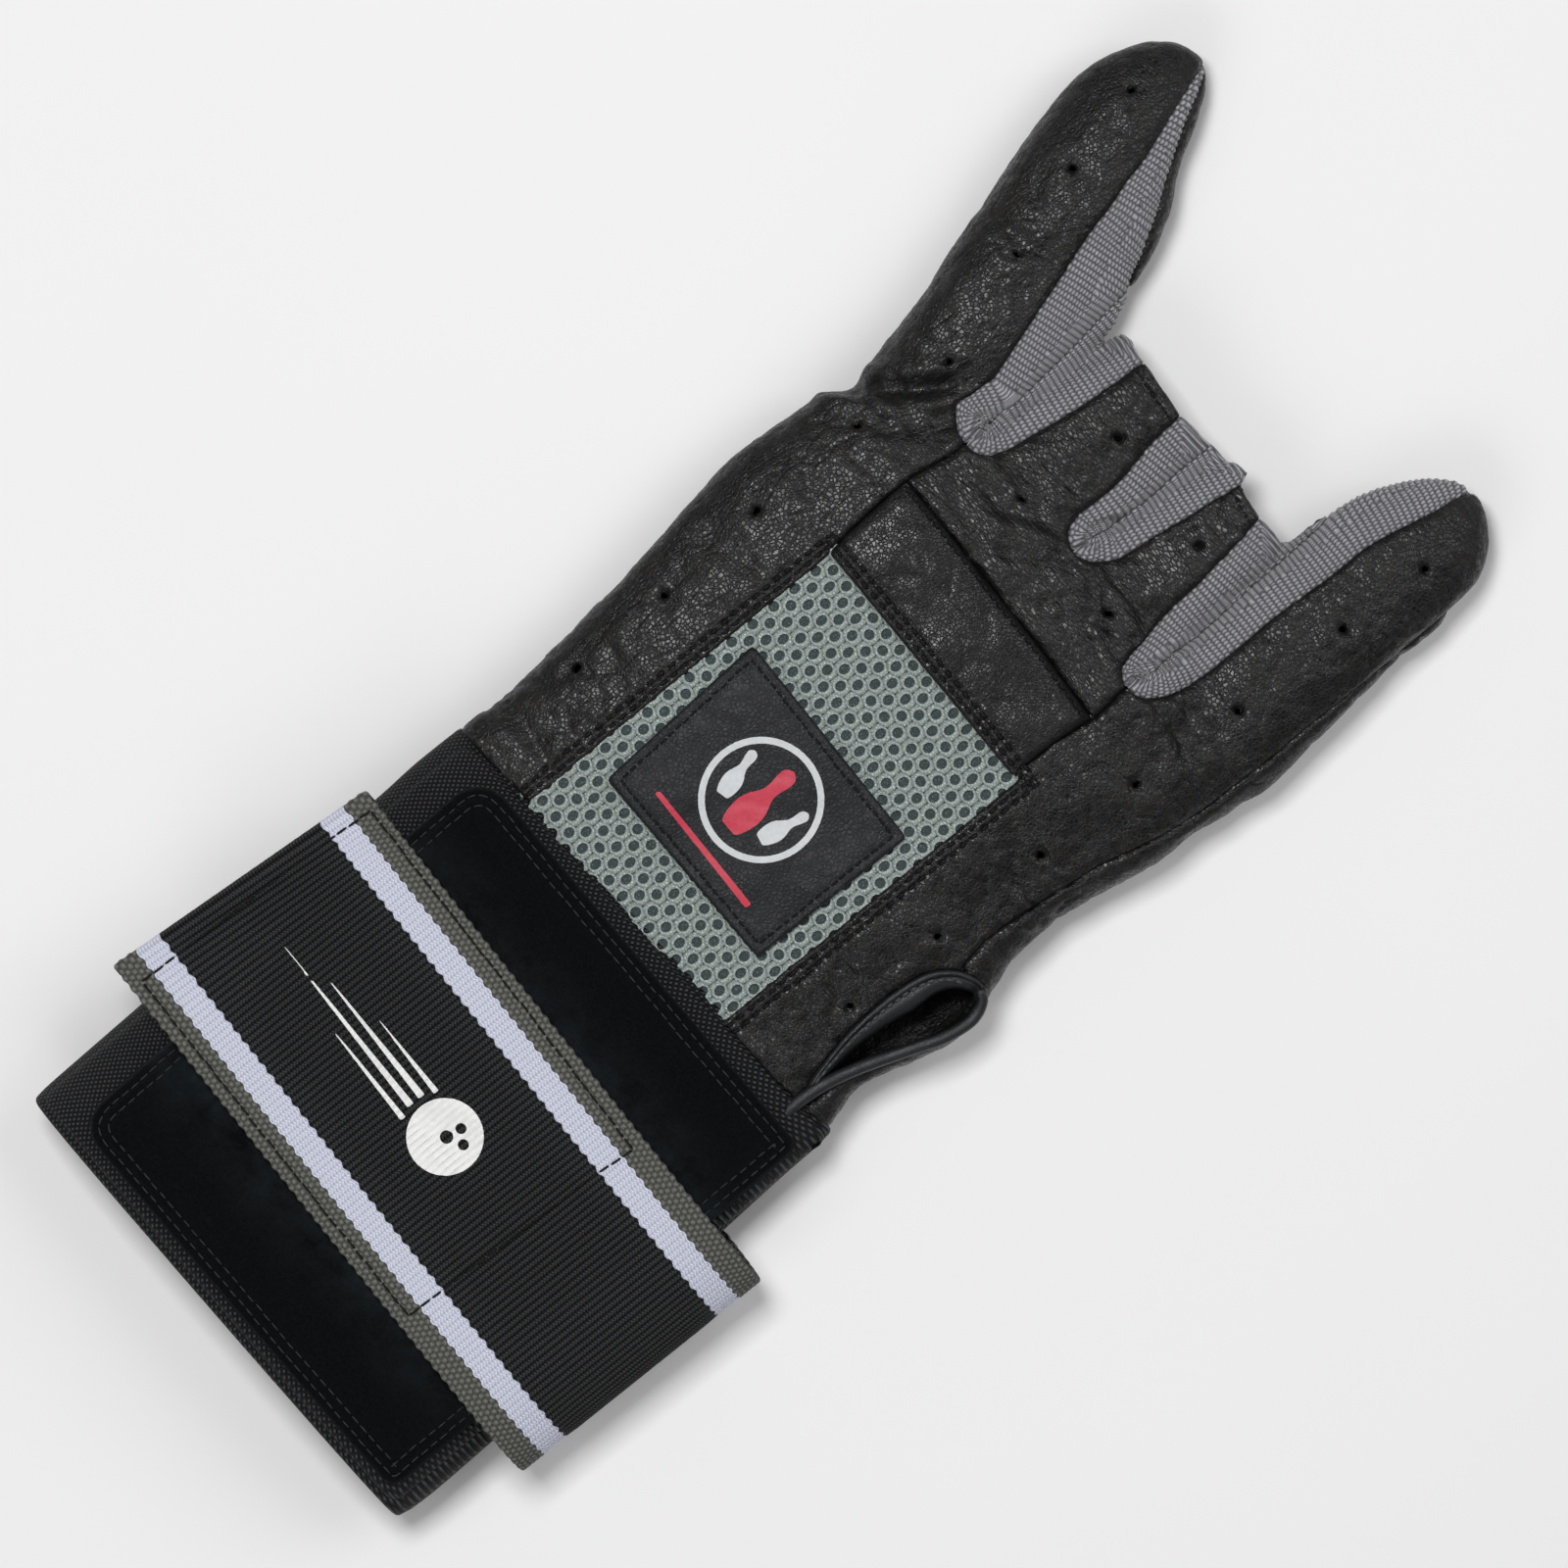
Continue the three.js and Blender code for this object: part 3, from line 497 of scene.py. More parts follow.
MIDDLE = (
    (44, 5.0, 21.0, 13.0, 4.0), (52, 3.0, 23.6, 16.2, 0.6), (60, 2.6, 24.4, 16.4, -0.3),
    (72, 2.8, 24.7, 16.5, -0.6), (80, 2.6, 24.4, 16.5, -0.6), (86, 3.4, 24.1, 16.4, -0.6),
    (92, 4.4, 23.6, 16.2, -0.5), (100, 5.6, 23.0, 16.0, -0.4),
)
INDEX = (
    (44, 26.0, 49.5, 13.0, 2.0), (50, 24.8, 51.9, 16.2, 0.2), (56, 24.3, 52.6, 17.0, -0.4),
    (64, 24.3, 53.1, 17.4, -0.6), (72, 24.3, 52.4, 17.5, -0.6), (80, 24.2, 51.9, 17.4, -0.6),
    (88, 23.9, 51.1, 17.2, -0.6), (94, 23.7, 50.8, 17.0, -0.6), (100, 24.0, 50.6, 16.7, -0.5),
    (106, 24.6, 50.1, 16.0, -0.3), (110, 25.6, 49.5, 15.2, 0.0), (114, 27.5, 48.2, 14.0, 0.6),
    (118, 30.5, 45.3, 12.2, 1.8), (120.4, 33.0, 42.0, 10.6, 3.0), (121.8, 35.6, 39.2, 8.8, 4.6),
    (122.2, 36.8, 37.8, 7.4, 5.8),
)


def oval(row, sides, power, inset=0.0):
    """A ring of points round a section, squarer as the power grows."""
    y, left, right, top, under = row
    c, s = around(sides)
    x = (left + right) / 2 + ((right - left) / 2 - inset) * np.sign(c) * np.abs(c) ** (2 / power)
    z = (top + under) / 2 + ((top - under) / 2 - inset) * np.sign(s) * np.abs(s) ** (2 / power)
    return np.column_stack([x, np.full(sides, y), z])


def loft(table, power):
    """A closed skin through the sections, with nothing below the floor."""
    rings = np.array([oval(row, LOFT_SIDES, power) for row in smooth_rows(table, LOFT_STEP)])
    rings[:, :, 2] = np.maximum(rings[:, :, 2], 0.0)
    return closed_rings(rings, rings[[0, -1]].mean(1))


def fused(parts):
    """One even skin round overlapping closed meshes."""
    verts, faces = joined(parts)
    mesh = bpy.data.meshes.new("fuse")
    mesh.from_pydata((verts * MM).tolist(), [], faces.tolist())
    obj = bpy.data.objects.new("fuse", mesh)
    bpy.context.scene.collection.objects.link(obj)
    remesh = obj.modifiers.new("fuse", "REMESH")
    remesh.mode = "VOXEL"
    remesh.voxel_size = VOXEL * MM
    graph = bpy.context.evaluated_depsgraph_get()
    result = bpy.data.meshes.new_from_object(obj.evaluated_get(graph))
    points = np.empty(len(result.vertices) * 3)
    result.vertices.foreach_get("co", points)
    result.calc_loop_triangles()
    triangles = np.empty(len(result.loop_triangles) * 3, np.int32)
    result.loop_triangles.foreach_get("vertices", triangles)
    bpy.data.objects.remove(obj)
    bpy.data.meshes.remove(mesh)
    bpy.data.meshes.remove(result)
    return points.reshape(-1, 3) / MM, triangles.reshape(-1, 3).astype(int)


# Seams of the palm side, as lines in plan
LITTLE_KNIT = ((-49.8, 136), (-48, 130), (-46.3, 125), (-44.6, 120), (-43, 115), (-42, 110),
               (-40.5, 105), (-39.5, 100), (-38, 95), (-36.5, 90), (-35, 85), (-33.5, 80),
               (-32, 75), (-30.5, 70.5))
LITTLE_BULB = ((-30.5, 70.5), (-31.6, 66), (-31.3, 63), (-29.5, 61), (-26, 60.2), (-22.5, 61),
               (-20.5, 64), (-20, 68))
RING_LEFT = ((-20, 68), (-18.8, 75), (-18, 80), (-17.5, 85), (-17, 92.3), (-16.7, 96))
LITTLE_BACK = ((-49.3, 136), (-46, 130.5), (-44, 126.5), (-42, 123), (-40, 119.8), (-38, 116.5),
               (-36, 113.5), (-34, 110.5), (-32, 107), (-30.5, 104.5), (-28.3, 100), (-25, 97))
RING_RIGHT = ((-5.6, 96), (-5.3, 90), (-4.9, 85), (-4, 80), (-3.2, 75), (-3.3, 70), (-3.6, 67))
RING_BULB = ((-3.6, 67), (-2.7, 64.2), (-1.2, 63), (1, 62.4), (4, 64), (6, 67.5))
MIDDLE_LEFT = ((6, 67.5), (6.8, 73), (7.8, 78), (8.5, 83), (9.3, 88), (9.9, 92), (10.4, 96))
MIDDLE_RIGHT = ((16.3, 96), (16.8, 90), (17.5, 85), (18.1, 80), (18.8, 75), (19, 70), (19.4, 65),
                (20, 60))
INDEX_BULB = ((20, 60), (20.4, 57), (21.5, 55.2), (24, 54.3), (27, 55), (29.5, 58), (30.5, 61),
              (30.9, 65))
INDEX_KNIT = ((30.9, 65), (31, 75), (31, 80), (31.3, 85), (31.8, 90), (32, 95), (32, 100),
              (32.8, 105), (33.9, 110), (35, 115), (35.9, 120), (37.5, 124))
SIDE_SEAM = ((50.4, 130), (50.3, 100), (50.2, 85), (49.8, 75), (49.7, 65), (49.5, 60), (49, 50),
             (48, 43), (46.5, 37), (45, 31), (44, 25), (43, 18), (42.3, 12), (42.2, 7), (43, 2),
             (44, -2), (44, -46))
LITTLE_SEAM = ((-26, 60.2), (-26, 56), (-27, 51), (-27.3, 47), (-27, 40), (-26.7, 35),
               (-26.3, 30.5))
INDEX_SEAM = ((24, 54.3), (24.5, 48), (24.3, 45), (23.5, 40), (23.2, 35), (23, 31))
PAD_TOP = ((-27.2, 48), (-10, 47.6), (0, 47.3), (10, 47), (20, 46.3), (24.4, 46.0))
WINDOW = ((-26.6, -50), (23.4, -50), (24.4, 29.3), (-25.8, 29.8))
THUMB_UPPER = ((42.2, -33), (41.0, -29.5), (39.9, -25), (39.0, -20), (38.7, -13), (39, -8),
               (40, -3.5), (42, -0.3), (44.4, 1.5), (47.5, 2.4), (49.8, 1.0))
THUMB_LOWER = ((49.8, 1.0), (50.9, -3), (50.1, -8), (48.3, -13), (46.4, -18), (44.6, -23),
               (43.0, -29), (42.3, -33))
VENTS = ((-54, 120.8), (-50, 104.2), (-44.9, 87.5), (-38.2, 66.6), (-40.1, 47.8), (-40, 24.9),
         (-39, 3.5), (-39.2, -16), (-9.4, 80.5), (13.4, 79.3), (-12.1, 61.2), (12.5, 59.9),
         (41.7, 106.5), (40.4, 89.1), (39.5, 66.2), (38, 44.7), (36.8, 24.2), (36.2, 2),
         (35.6, -17.3))
# A y beyond all the fingertips
FAR = 150.0


def chain(*lines):
    """Smooth lines joined end to end."""
    return np.vstack([curve(line) for line in lines])


def corner(*points):
    return np.array(points, float)


def leather_outlines():
    """Outlines of the palm side's panels in plan."""
    bulb, index_bulb = curve(LITTLE_BULB), curve(INDEX_BULB)
    low, index_low = bulb[:, 1].argmin(), index_bulb[:, 1].argmin()
    seam, index_seam, pad_top = curve(LITTLE_SEAM), curve(INDEX_SEAM), curve(PAD_TOP)
    little = np.vstack([
        corner((-26.6, -50), (-25.9, 29.8)), seam[::-1], bulb[:low][::-1], chain(LITTLE_KNIT[::-1]),
        corner((-49.8, FAR), (-90, FAR), (-90, -50)),
    ])
    centre = np.vstack([
        seam[seam[:, 1] > 48.2][::-1], bulb[low:],
        chain(RING_LEFT, RING_RIGHT, RING_BULB, MIDDLE_LEFT, MIDDLE_RIGHT), index_bulb[:index_low],
        index_seam[index_seam[:, 1] > 46.2], pad_top[::-1],
    ])
    pad = np.vstack([
        corner((-25.9, 29.8), (24.2, 29.3)), index_seam[index_seam[:, 1] < 46][::-1],
        pad_top[::-1], seam[seam[:, 1] < 47.8],
    ])
    index = np.vstack([
        corner((23.4, -50), (44, -50)), chain(SIDE_SEAM[::-1]), corner((50.4, FAR), (37.5, FAR)),
        chain(INDEX_KNIT[::-1]), index_bulb[index_low:][::-1], index_seam, corner((24.3, 29.3)),
    ])
    return {"little": little, "centre": centre, "pad": pad, "index": index}


def knit_edges():
    """The seam round each knit side, down one finger and up the next."""
    return {
        "little_ring": chain(LITTLE_KNIT, LITTLE_BULB, RING_LEFT),
        "ring_middle": chain(RING_RIGHT, RING_BULB, MIDDLE_LEFT),
        "middle_index": chain(MIDDLE_RIGHT, INDEX_BULB, INDEX_KNIT),
    }


def knit_outlines():
    """The same seams, closed past the finger ends."""
    beyond = {
        "little_ring": (corner((-16.7, 100), (-25, 100)), chain(LITTLE_BACK[::-1])),
        "ring_middle": (corner((10.4, 100), (-5.6, 100)),),
        "middle_index": (corner((37.5, FAR), (22, FAR), (22, 100), (16.3, 100)),),
    }
    return {name: np.vstack([edge, *beyond[name]]) for name, edge in knit_edges().items()}


def build_hand():
    """The whole skin of the hand, before it is cut into panels."""
    parts = [loft(PALM, 2.9), loft(LITTLE, 2.3)]
    parts += [loft(table, 2.4) for table in (RING, MIDDLE, INDEX)]
    verts, faces = fused(parts)
    return relax(verts, faces, 10), faces


# Lines of the finger ends and the wrist, where the skin stops. The open fingers have their range
# in x and the y past which their ends count.
FINGER_ENDS = ((-30, 93.8), (-21.8, 93.5), (-20, 92.9), (-17, 92.3), (-5.5, 91.0), (-4.5, 91.3),
               (0, 91.7), (5, 92.6), (6.5, 93.8), (8.8, 93.7), (9.9, 92.0), (10.1, 91.2),
               (17, 90.2), (18.5, 90.6), (30, 90.8))
OPEN_FINGERS = (-24.9, 23.35)
OPEN_FROM = 84
NO_END = 9.0
WRIST_SEAM = ((-60, -38.9), (-44, -38.2), (-26, -37.1), (0, -36.6), (25, -36.3), (39, -35.4),
              (49.5, -34.0), (60, -33.2))

# Folds pressed into the skin, each with its line in plan, depth and half width. The banks beside
# a fold or a row of stitches are a share of its depth.
FOLD_BANK = 0.45
FOLDS = (
    (((-49, 49.5), (-45.6, 52), (-42, 55.4), (-38.6, 59), (-35.6, 63.5), (-34.2, 67)), 1.5, 1.5),
    (((-33.5, 63.5), (-29, 57.5), (-22, 54.5), (-13, 53.2)), 0.4, 1.6),
    (((-4.5, 64), (-8, 60.5), (-14, 57.8), (-21, 57.5)), 0.45, 1.5),
    (((7, 64), (10, 60.8), (15, 58.2), (19.5, 58)), 0.45, 1.5),
    (((31.5, 58), (37, 56.2), (44, 55.5), (50, 57)), 0.5, 2.0),
    (((31, 64), (38, 61.5), (45, 61.2)), 0.35, 1.8),
    (((-18, 70), (-12, 69), (-5, 70.5)), 0.3, 1.7),
    (((27, 24), (34, 21.5), (41, 19), (45, 19)), 0.45, 2.6),
    (((-47, 20), (-40, 17), (-33, 18), (-29, 21)), 0.35, 2.6),
    (((-45, -12), (-38, -10), (-31, -12)), 0.3, 2.6),
    (((26, -14), (31, -16.5), (36, -17)), 0.35, 2.0),
    (((25, -27), (30, -25), (36, -26), (39.5, -29)), 0.5, 1.8),
    (((25, -33), (31, -31), (38, -33)), 0.4, 1.5),
    (((-43, -31), (-36, -29.5), (-29, -31.5)), 0.4, 1.6),
    (((-55, 92), (-50, 90), (-44, 91), (-38, 93)), 0.35, 2.2),
    (((50, 92), (44, 90.5), (38, 91.5), (33, 93)), 0.35, 2.2),
    (((-23.8, 74), (-23.7, 69.1), (-23.6, 67.2), (-24, 64.5), (-25.2, 63.4)), 0.9, 0.75),
    (((3, 74.5), (2.6, 72.5), (1, 71), (0, 69.5), (-0.7, 67)), 0.8, 0.75),
    (((25.2, 66), (27, 62.5), (24.5, 61), (22.8, 58)), 0.8, 0.75),
)

# Rows of stitches on the leather. Each presses a shallow groove into the skin: depth, half width
# and bank of the loose rows, and the places of the cuts along the window's grooves in half widths.
LOOSE_GROOVE = (0.3, 0.8, 0.2)
GROOVE_CUTS = (-1.2, -0.55, 0, 0.55, 1.2)
NO_GROOVE = 99.0
ROW_OFFSETS = (1.2, 2.6)
WINDOW_ROWS = tuple(
    row for d in ROW_OFFSETS for row in (
        ((WINDOW[0][0] + 0.1 - d, -36.9), (WINDOW[3][0] - d, WINDOW[3][1] + d + 0.6)),
        ((WINDOW[1][0] + 0.1 + d, -36.2), (WINDOW[2][0] + d, WINDOW[2][1] + d + 0.6)),
        ((WINDOW[3][0] - 2.6, WINDOW[3][1] + d), (WINDOW[2][0] + 2.6, WINDOW[2][1] + d)),
    )
)
PAD_ROW = ((-26.6, 47.0), (-10, 46.6), (0, 46.3), (10, 46), (20, 45.3), (23.6, 45.0))
HEM_ROWS = (((-17.3, 90.4), (-5.5, 89.2)), ((9.5, 89.5), (16.7, 88.4)))
THUMB_ROW = ((41.9, -30.5), (40.8, -25), (40.1, -20), (39.8, -13), (40.1, -8), (41.1, -4),
             (42.9, -1.4), (45, 0.2))
THUMB_LOWER_ROW = ((48.0, -16.5), (46.5, -20), (45.3, -24), (44.5, -28), (44.1, -32), (44.2, -37))

# Piping bead along the lower lip of the thumb slit
BEAD = ((47.6, 1.6), (49.3, 0.9), (50.5, -1.4), (50.8, -4), (50.0, -8.5), (48.3, -13), (46.4, -18),
        (44.6, -23), (43.1, -28.5), (42.4, -34), (42.5, -38.7))
BEAD_RADIUS = 1.12
BAND_WALL = 0.7
# Width of the upper lip's band along THUMB_UPPER, as a share of its widest place
BAND_SHARE = (0.22, 0.34, 0.72, 1.0, 1.06, 0.97, 0.82, 0.66, 0.56, 0.55, 0.45)
BAND_PROFILE = ((-0.35, -0.5), (-0.25, 0.1), (0.1, 0.42), (0.55, 0.42), (0.95, 0.1), (1.15, -0.12),
                (1.4, 0.02), (2.0, 0.05), (2.7, -0.15), (3.3, -0.6), (3.8, -1.4), (4.0, -2.6),
                (3.8, -4.2), (3.2, -5.6))

# Unevenness of the skin and its creases, each with pitch, seed and depth, and the places where
# it creases most, each with its centre and size
SWELLS = ((24, 3, 0.34), (12, 4, 0.18), (5.5, 5, 0.06))
CREASED = ((-10, 57, 11), (12, 57, 9), (-38, 54, 10), (37, 58, 9), (33, -20, 13), (-37, -24, 12),
           (-9, 84, 7), (13, 84, 6), (-46, 90, 9), (40, 20, 9), (44, 92, 8))
CREASES = ((10.0, 41, 0.42), (6.0, 42, 0.26))
GROOVE_DEPTH = 0.3
GROOVE_HALF = 0.5
PUCKER = 0.16


def press_skin(verts, faces):
    """Adds unevenness, folds and stitch grooves to the skin of the hand.

    Creases and folds are on the upper side alone, and grow from nothing at 6 mm to full at 10 mm.
    """
    n = normals(verts, faces)
    upper = np.clip((verts[:, 2] - 6) / 4, 0, 1)
    push = sum(depth * waves(verts, pitch, seed) for pitch, seed, depth in SWELLS)
    rows = [(*fold, FOLD_BANK) for fold in FOLDS]
    rows += [(line, *LOOSE_GROOVE) for line in (*HEM_ROWS, THUMB_LOWER_ROW)]
    creased = 0.3 + sum(
        np.exp(-((verts[:, 0] - x) ** 2 + (verts[:, 1] - y) ** 2) / size**2) for x, y, size in CREASED
    )
    for pitch, seed, depth in CREASES:
        field = waves(verts * (0.5, 1.25, 1.0), pitch, seed)
        push -= depth * upper * np.minimum(creased, 1.2) * np.exp(-(field / 0.3) ** 2)
    for line, depth, half, bank in rows:
        smooth = curve(line) if len(line) > 2 else np.array(line, float)
        low, high = smooth.min(0) - 4 * half, smooth.max(0) + 4 * half
        near = ((verts[:, :2] > low) & (verts[:, :2] < high)).all(1) & (upper > 0)
        d = distance_to_line(verts[near], smooth)
        ends = np.minimum(np.linalg.norm(verts[near, :2] - smooth[0], axis=1),
                          np.linalg.norm(verts[near, :2] - smooth[-1], axis=1))
        fade = np.clip(ends / (2.5 * half), 0.15, 1) * upper[near]
        groove = bank * np.exp(-((d - 2.1 * half) / half) ** 2) - np.exp(-(d / half) ** 2)
        push[near] += depth * groove * fade
    verts = verts.copy()
    verts[:, :3] += n * push[:, None]
    verts[:, 2] = np.maximum(verts[:, 2], 0.0)
    return verts


def line_height(line, x):
    """The y of a line in plan at each x."""
    line = np.array(line)
    return np.interp(x, line[:, 0], line[:, 1])


def end_field(points):
    """Positive where the skin goes on, negative past the finger ends and the wrist."""
    x, y = points[:, 0], points[:, 1]
    open_finger = (x > OPEN_FINGERS[0]) & (x < OPEN_FINGERS[1]) & (y > OPEN_FROM)
    ends = np.where(open_finger, line_height(FINGER_ENDS, x) - y, NO_END)
    return np.minimum(ends, y - line_height(WRIST_SEAM, x))


def roll(distance, depth, radius=ROLL_RADIUS):
    """How far a surface dives at a distance from its seam."""
    u = np.clip(1 - distance / radius, 0, 1)
    return depth * (1 - np.sqrt(np.maximum(1 - u * u, 0)))


def sliced(verts, faces, values, levels):
    """Cuts the triangles along a value's levels, so that a crisp edge can follow them."""
    verts = np.column_stack([verts, values])
    for level in levels:
        verts, faces, _ = cut(verts, faces, verts[:, -1] - level, keep_rest=True)
    return verts[:, :-1], faces, verts[:, -1]


def push_along(verts, amount):
    """Moves vertices along the skin's normals, which are their fourth to sixth values."""
    verts = verts.copy()
    verts[:, :3] += unit(verts[:, 3:6]) * amount[:, None]
    return verts


def panel(skin, faces, field, depth, puff=None):
    """The part of the skin where the field is positive, with its edges rolled in.

    The skin's last column is the distance out from the mesh window, which the double
    rows of stitches follow.
    """
    v, f, g = compact(*cut(skin, faces, field))
    v, f, g = sliced(v, f, g, ROLL_LEVELS)
    v = np.column_stack([v, g])
    for offset in ROW_OFFSETS:
        for side in GROOVE_CUTS:
            level = offset + side * GROOVE_HALF
            v, f, _ = cut(v, f, v[:, 6] - level, keep_rest=True)
    v, g = v[:, :-1], v[:, -1]
    grooves = sum(np.exp(-((v[:, 6] - offset) / GROOVE_HALF) ** 2) for offset in ROW_OFFSETS)
    at = np.where(v[:, 1] > WINDOW_TOP, v[:, 0], v[:, 1])
    pucker = np.cos(TURN * at / WINDOW_STITCH)
    welt = np.exp(-((v[:, 6] - sum(ROW_OFFSETS) / 2) / 1.3) ** 2)
    push = -roll(g, depth) - GROOVE_DEPTH * grooves + PUCKER * welt * pucker
    return push_along(v, push + puff(v) if puff else push), f


def knit_side(skin, faces, field, edge):
    """One side of a knit gusset, with ribs across the strip along its leather edge."""
    v, f, g = compact(*cut(skin, faces, field))
    at, _ = along_line(v, edge)
    run = running_length(edge)[-1]
    levels = np.arange(1, run / KNIT_QUARTER) * KNIT_QUARTER
    v, f, at = sliced(np.column_stack([v, g]), f, at, levels)
    g = v[:, -1]
    rib = KNIT_RISE * np.cos(math.pi / 2 * at / KNIT_QUARTER)
    puff = KNIT_PUFF * np.sin(math.pi * np.clip(g / KNIT_WIDTH, 0, 1)) - KNIT_SINK
    push = rib + puff - roll(g, 0.7, 1.0)
    return push_along(v[:, :-1], push), f, np.column_stack([at, g])


def ground(verts, faces):
    """A function giving the height of a surface, seen from above, at points in plan."""
    tree = BVHTree.FromPolygons(verts[:, :3].tolist(), faces.tolist())

    def height(points):
        out = np.zeros(len(points))
        for i, (x, y) in enumerate(np.asarray(points)[:, :2]):
            hit = tree.ray_cast(Vector((x, y, 80.0)), Vector((0, 0, -1)))[0]
            if hit is None:
                hit = tree.find_nearest(Vector((x, y, 20.0)))[0]
            out[i] = hit[2]
        return out
    return height


def plate(outline, step, holes=()):
    """A flat grid in plan cut to an outline, with each point's distance to the edge."""
    low, high = outline.min(0) - step, outline.max(0) + step
    xs = np.arange(low[0], high[0] + step, step)
    ys = np.arange(low[1], high[1] + step, step)
    x, y = np.meshgrid(xs, ys)
    verts = np.column_stack([x.ravel(), y.ravel(), np.zeros(x.size)])
    field = inside_field(verts, outline)
    for hole in holes:
        field = np.minimum(field, -inside_field(verts, hole))
    return compact(*cut(verts, grid_faces(len(ys), len(xs)), field))


def slab(outline, step, height, profile, levels, wall):
    """A flat piece cut to an outline, laid on a surface, with a profile by distance to its edge."""
    v, f, g = sliced(*plate(outline, step), levels)
    v[:, 2] = height(v) + profile(v, g)
    return thicken(v, f, wall, UP)


def rounded(corners, radii, sides=6):
    """A polygon with rounded corners, as an outline."""
    corners = np.array(corners, float)
    out = []
    for i, radius in enumerate(radii):
        a, b, c = corners[i - 1], corners[i], corners[(i + 1) % len(corners)]
        to_a = (a - b) / np.linalg.norm(a - b)
        to_c = (c - b) / np.linalg.norm(c - b)
        t = np.linspace(0, 1, sides + 1)[:, None]
        start, end = b + to_a * radius, b + to_c * radius
        out.append((1 - t) ** 2 * start + 2 * t * (1 - t) * b + t**2 * end)
    return np.vstack(out)


def tube(line, radius, sides, flat=1.0):
    """A round bar along a line in space, with a radius for each point."""
    along = unit(np.gradient(line, axis=0))
    side = unit(np.cross(along, UP))
    lift = np.cross(side, along)
    c, s = around(sides)
    ring = side[:, None] * c[None, :, None] + flat * lift[:, None] * s[None, :, None]
    verts, faces = closed_rings(line[:, None] + ring * radius[:, None, None], line[[0, -1]])
    return verts, faces[:, ::-1]


def stitches(line, height, step=STITCH_STEP, radius=0.2, share=0.74, lift=0.12):
    """A row of thread stitches lying on a surface."""
    line = resample(np.array(line, float), 0.4)
    length = running_length(line)
    count = max(int(round(length[-1] / step)), 1)
    pitch = length[-1] / count
    reach = np.array([-0.5, -0.36, 0, 0.36, 0.5]) * share * pitch
    drop = np.array([-1.0, 0.1, 0.55, 0.1, -1.0])
    size = np.array([0.55, 0.95, 1.0, 0.95, 0.55])
    middle = (np.arange(count) + 0.5) * pitch
    at = middle[:, None] + reach * (1 + 0.06 * RAND.normal(size=(count, 1)))
    dx, dy = unit(np.gradient(line, axis=0)).T
    x = np.interp(at, length, line[:, 0])
    x = x - np.interp(at, length, dy) * 0.05 * RAND.normal(size=(count, 1))
    y = np.interp(at, length, line[:, 1])
    y = y + np.interp(at, length, dx) * 0.05 * RAND.normal(size=(count, 1))
    z = height(np.column_stack([x.ravel(), y.ravel()])).reshape(x.shape)
    z = np.maximum(z, z.max(1, keepdims=True) - 0.5) + radius * drop + lift
    return [tube(np.column_stack([x[i], y[i], z[i]]), radius * size, 6) for i in range(count)]


def add_threads(name, rows, height, material, slot, **how):
    """One piece of all the stitches along several lines."""
    parts = [stitch for row in rows for stitch in stitches(row, height, **how)]
    make(name, *joined(parts), material, slot, sharp=0)


# The hand

